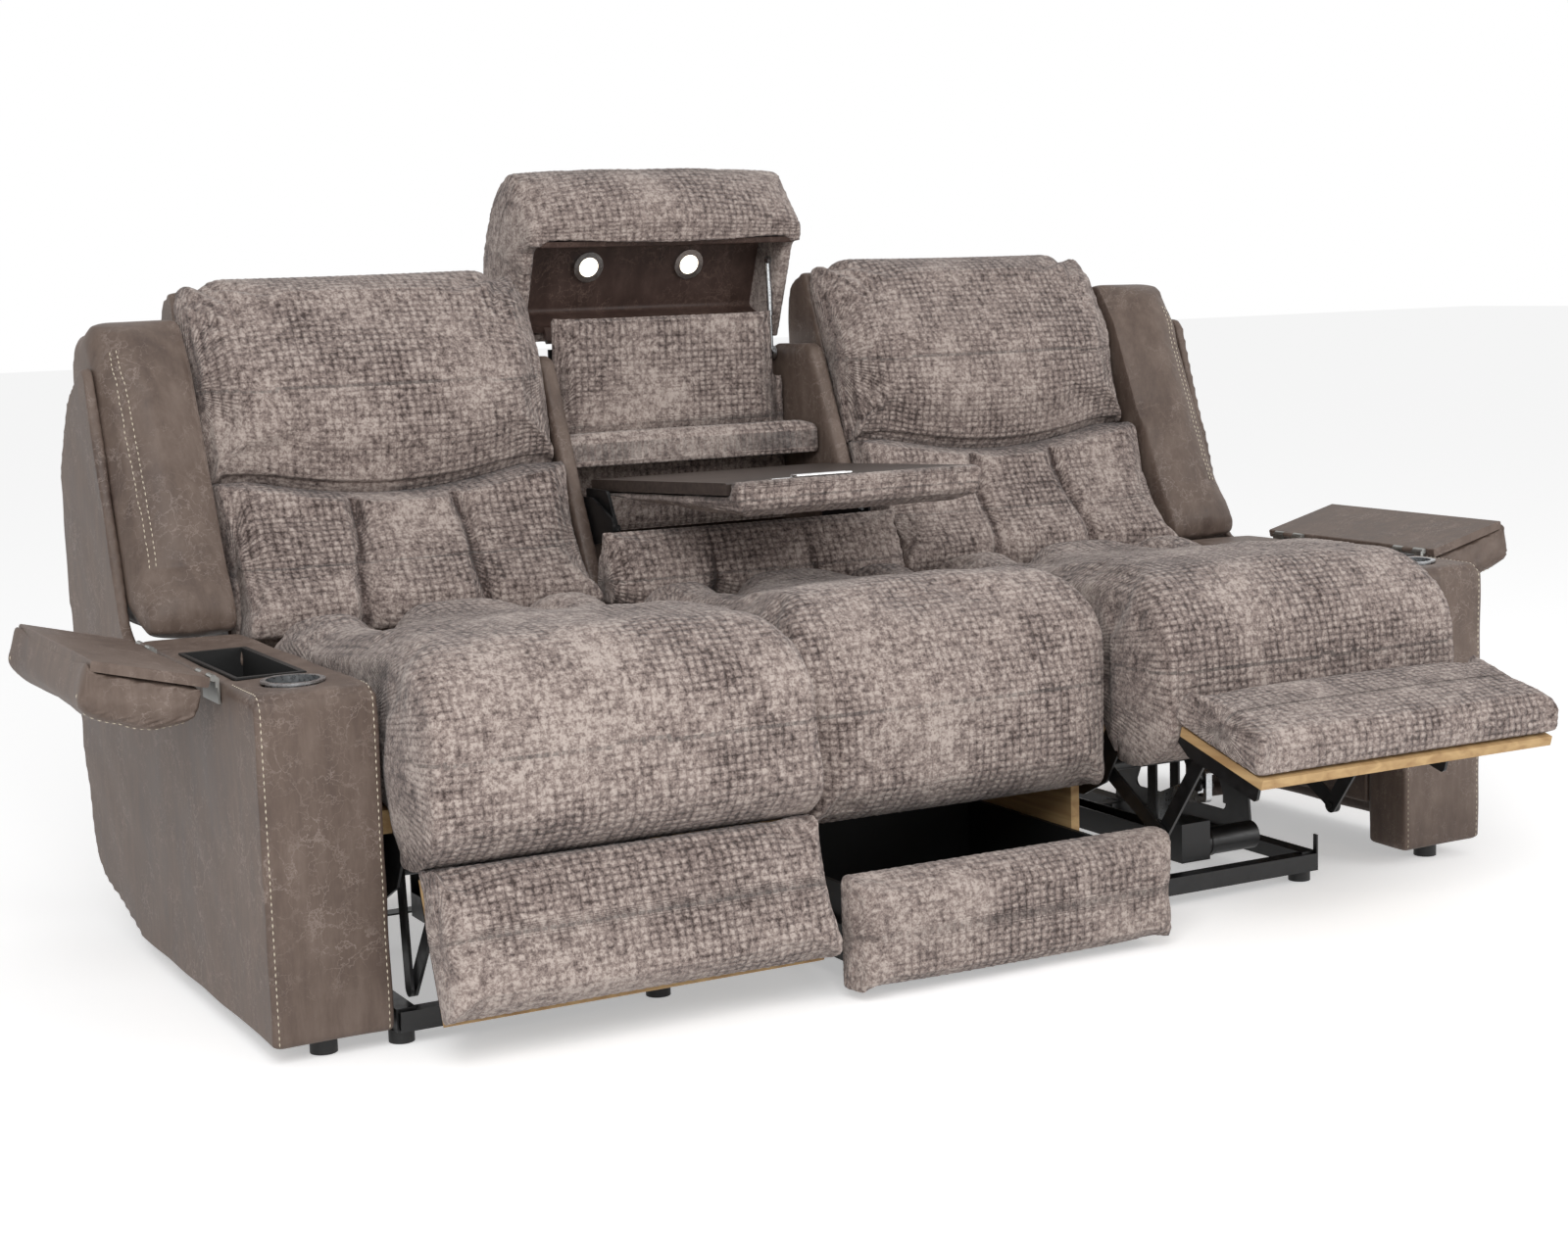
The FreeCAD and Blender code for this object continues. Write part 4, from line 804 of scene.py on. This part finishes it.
# %% Stitches
def stitch(name, host, body, lines, long=7.0, gap=3.0, wide=1.1):
    verts, faces = [], []
    for line in lines:
        line = [Vector((p[0] / 1000, (p[1] + ARM_FRONT) / 1000, p[2] / 1000)) for p in line]
        ends = [0.0]
        for k in range(len(line) - 1):
            ends.append(ends[-1] + (line[k + 1] - line[k]).length)
        count = int(ends[-1] * 1000 / (long + gap))
        spots = []
        for k in range(count * 2 + 1):
            far = ends[-1] * k / (count * 2)
            part = max(m for m in range(len(line) - 1) if ends[m] <= far + 1e-9)
            share = (far - ends[part]) / max(ends[part + 1] - ends[part], 1e-9)
            _, spot, normal, _ = host.closest_point_on_mesh(line[part].lerp(line[part + 1], share))
            spots.append((spot, normal))
        for k in range(0, count * 2 - 1, 2):
            (start, n1), (end, n2) = spots[k], spots[k + 1]
            middle, normal = (start + end) / 2, (n1 + n2).normalized()
            way = (end - start).normalized() if (end - start).length > 1e-6 else Vector((0, 0, 1))
            side = way.cross(normal)
            first = len(verts)
            around = (way * long / 2, side * wide, way * -long / 2, side * -wide)
            for move in (*around, normal * 1.2, normal * -0.8):
                verts.append(middle + move / 1000)
            for j in range(4):
                faces.append((first + j, first + (j + 1) % 4, first + 4))
                faces.append((first + (j + 1) % 4, first + j, first + 5))
    mesh = bpy.data.meshes.new(name)
    mesh.from_pydata(verts, [], faces)
    piece = bpy.data.objects.new(name, mesh)
    bpy.context.collection.objects.link(piece)
    pick(piece)
    bpy.ops.object.mode_set(mode="EDIT")
    bpy.ops.mesh.select_all(action="SELECT")
    bpy.ops.mesh.normals_make_consistent(inside=False)
    bpy.ops.object.mode_set(mode="OBJECT")
    mesh.materials.append(THREAD)
    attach(piece, body)
    print(name, len(faces) // 8, "stitches")


for side, sign in (("left", -1), ("right", 1)):
    # Up each edge of the arm's front, over the round top edge and a short way back.
    stitch(f"arm_stitches_{side}", arm_covers, "base", [
        [(sign * x, 0, 32), (sign * x, 0, 505), (sign * x, 8, 522), (sign * x, 26, 530), (sign * x, back, 531)]
        for x, back in ((1111, 140), (949, 50))])
    # Twin seams down the bolster.
    stitch(f"bolster_stitches_{side}", bpy.data.objects[f"bolster_pillow_{side}"], f"back_{side}", [
        [(sign * x, 690, 645), (sign * x, 760, 800), (sign * x, 820, 930), (sign * x, 860, 990)]
        for x in (1066, 1080)])
    # Across the pad of the lid, near both ends.
    seams = []
    for y in (160, 598):
        line = []
        for u, w in ((14, -40), (40, -75), (100, -80), (160, -72), (184, -45)):
            x = LID_HINGE[0] + u * math.cos(LID_TILT) - w * math.sin(LID_TILT)
            line.append((sign * x, y, LID_HINGE[1] + u * math.sin(LID_TILT) + w * math.cos(LID_TILT)))
        seams.append(line)
    stitch(f"lid_stitches_{side}", bpy.data.objects[f"lid_pillow_{side}"], f"arm_lid_{side}", seams)

# %% [markdown]
# The table has a flat chrome catch let into its front end. It is a cube stretched to
# a bar, bevelled, with a shallow finger hollow that is inset and pushed in.

# %% Table catch
def bar(name, low, high, bevel, hollow):
    bpy.ops.object.select_all(action="DESELECT")
    bpy.ops.mesh.primitive_cube_add(size=1)
    piece = bpy.context.active_object
    piece.name = name
    middle, size = (np.array(low) + high) / 2, np.array(high) - low
    for vertex in piece.data.vertices:
        vertex.co = Vector([(middle[k] + vertex.co[k] * size[k]) / 1000 for k in range(3)])
    bpy.ops.object.mode_set(mode="EDIT")
    bpy.ops.mesh.select_all(action="DESELECT")
    bpy.ops.mesh.select_mode(type="FACE")
    bpy.ops.object.mode_set(mode="OBJECT")
    for face in piece.data.polygons:
        face.select = face.normal.z > 0.9
    bpy.ops.object.mode_set(mode="EDIT")
    bpy.ops.mesh.inset(thickness=hollow / 1000)
    bpy.ops.transform.translate(value=(0, 0, -0.0012))
    bpy.ops.object.mode_set(mode="OBJECT")
    apply_modifier(piece, "BEVEL", width=bevel / 1000, segments=2)
    return piece


for name, low, high in (("table_catch", (-118, -436, 87), (-14, -414, 90.5)),
                        ("table_catch_tongue", (-150, -410, 83.6), (-112, -400, 85.6))):
    piece = bar(name, low, high, 0.8, 3.5)
    places = np.array([v.co[:] for v in piece.data.vertices]) * 1000
    places[:, 1] += TABLE[0]
    places[:, 2] += TABLE[1]
    write(piece, swing(places, TABLE, -TABLE_TILT))
    piece.data.materials.append(FINISHES["chrome"])
    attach(piece, "table")

# %% [markdown]
# Each reading lamp is a chrome ring with a domed lens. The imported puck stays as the
# ring, and the lens is a flat sphere cap a little smaller, which glows.

# %% Lamp lenses
for k, x in enumerate((106, -106)):
    bpy.ops.object.select_all(action="DESELECT")
    bpy.ops.mesh.primitive_uv_sphere_add(segments=40, ring_count=16, radius=0.019)
    lens = bpy.context.active_object
    lens.name = f"lamp_lens_{k}"
    places = np.array([v.co[:] for v in lens.data.vertices]) * 1000
    places[:, 2] *= 0.12
    places += (x, REST[0] - 116, REST[1] + 71.6)
    write(lens, swing(places, REST, -REST_OPEN))
    lens.data.polygons.foreach_set("use_smooth", [True] * len(lens.data.polygons))
    lens.data.materials.append(LENS)
    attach(lens, "headrest_lid")

# %% [markdown]
# The photograph was taken with a lens of about 58 mm from the left, a little above
# arm height, and turned by under two degrees.

# %% Camera
def aim(bearing, rise, roll):
    a, e, r = (math.radians(v) for v in (bearing, rise, roll))
    back = Vector((math.sin(a) * math.cos(e), -math.cos(a) * math.cos(e), math.sin(e)))
    right = (-back).cross(Vector((0, 0, 1))).normalized()
    up = right.cross(-back)
    first = right * math.cos(r) + up * math.sin(r)
    second = up * math.cos(r) - right * math.sin(r)
    return Matrix((first, second, back)).transposed().to_4x4()


camera_data = bpy.data.cameras.new("studio_camera")
camera_data.lens = 57.998
camera_data.sensor_width = 36
camera = bpy.data.objects.new("studio_camera", camera_data)
stand = Matrix.Translation((-2.08611, -3.33821 + ARM_FRONT / 1000, 1.09118))
camera.matrix_world = stand @ aim(-28.22, 8.17, -1.74)
bpy.context.collection.objects.link(camera)
bpy.context.scene.camera = camera
print("camera at", [round(v, 3) for v in camera.matrix_world.translation])

# %% [markdown]
# A white floor and a white world stand for the studio. The camera sees both as
# white, and the floor keeps the soft shadow under the sofa.

# %% Floor and light
bpy.context.scene.view_settings.view_transform = "Standard"
bpy.ops.object.select_all(action="DESELECT")
bpy.ops.mesh.primitive_plane_add(size=60, location=(0, 0, -0.0005))
floor = bpy.context.active_object
floor.name = "studio_floor"
paper, tree, shader = finish("white_studio_floor")
shader.inputs["Base Color"].default_value = (0.93, 0.93, 0.93, 1)
shader.inputs["Roughness"].default_value = 0.95
shader.inputs["Specular IOR Level"].default_value = 0.0


def seen_directly(tree):
    rays = add(tree, "LightPath").outputs
    either = add(tree, "Math", {0: rays["Is Camera Ray"], 1: rays["Is Glossy Ray"]}, operation="MAXIMUM")
    return add(tree, "Math", {0: either, 1: rays["Is Transmission Ray"]}, operation="MAXIMUM")


shader.inputs["Emission Color"].default_value = (1, 1, 1, 1)
lift = add(tree, "Math", {0: seen_directly(tree), 1: 0.40}, operation="MULTIPLY")
tree.links.new(lift.outputs[0], shader.inputs["Emission Strength"])
floor.data.materials.append(paper)

world = bpy.data.worlds.new("white_studio")
bpy.context.scene.world = world
world.use_nodes = True
sky = world.node_tree.nodes["Background"]
# The world lights the sofa with 0.55 and is seen as 1.
level = add(world.node_tree, "Math", {0: seen_directly(world.node_tree), 1: 0.45, 2: 0.55}, operation="MULTIPLY_ADD")
sky.inputs["Color"].default_value = (1, 1, 1, 1)
world.node_tree.links.new(level.outputs[0], sky.inputs["Strength"])


def lamp(name, place, target, size, power):
    bulb = bpy.data.lights.new(name, "AREA")
    bulb.size = size
    bulb.energy = power
    item = bpy.data.objects.new(name, bulb)
    item.location = place
    item.rotation_euler = (Vector(target) - Vector(place)).to_track_quat("-Z", "Y").to_euler()
    bpy.context.collection.objects.link(item)


lamp("key_light", (-2.2, -3.4, 2.9), (0, 0, 0.5), 2.2, 98)
lamp("fill_light", (3.2, -3.6, 1.9), (0, 0, 0.5), 2.5, 58)
print("lights on")
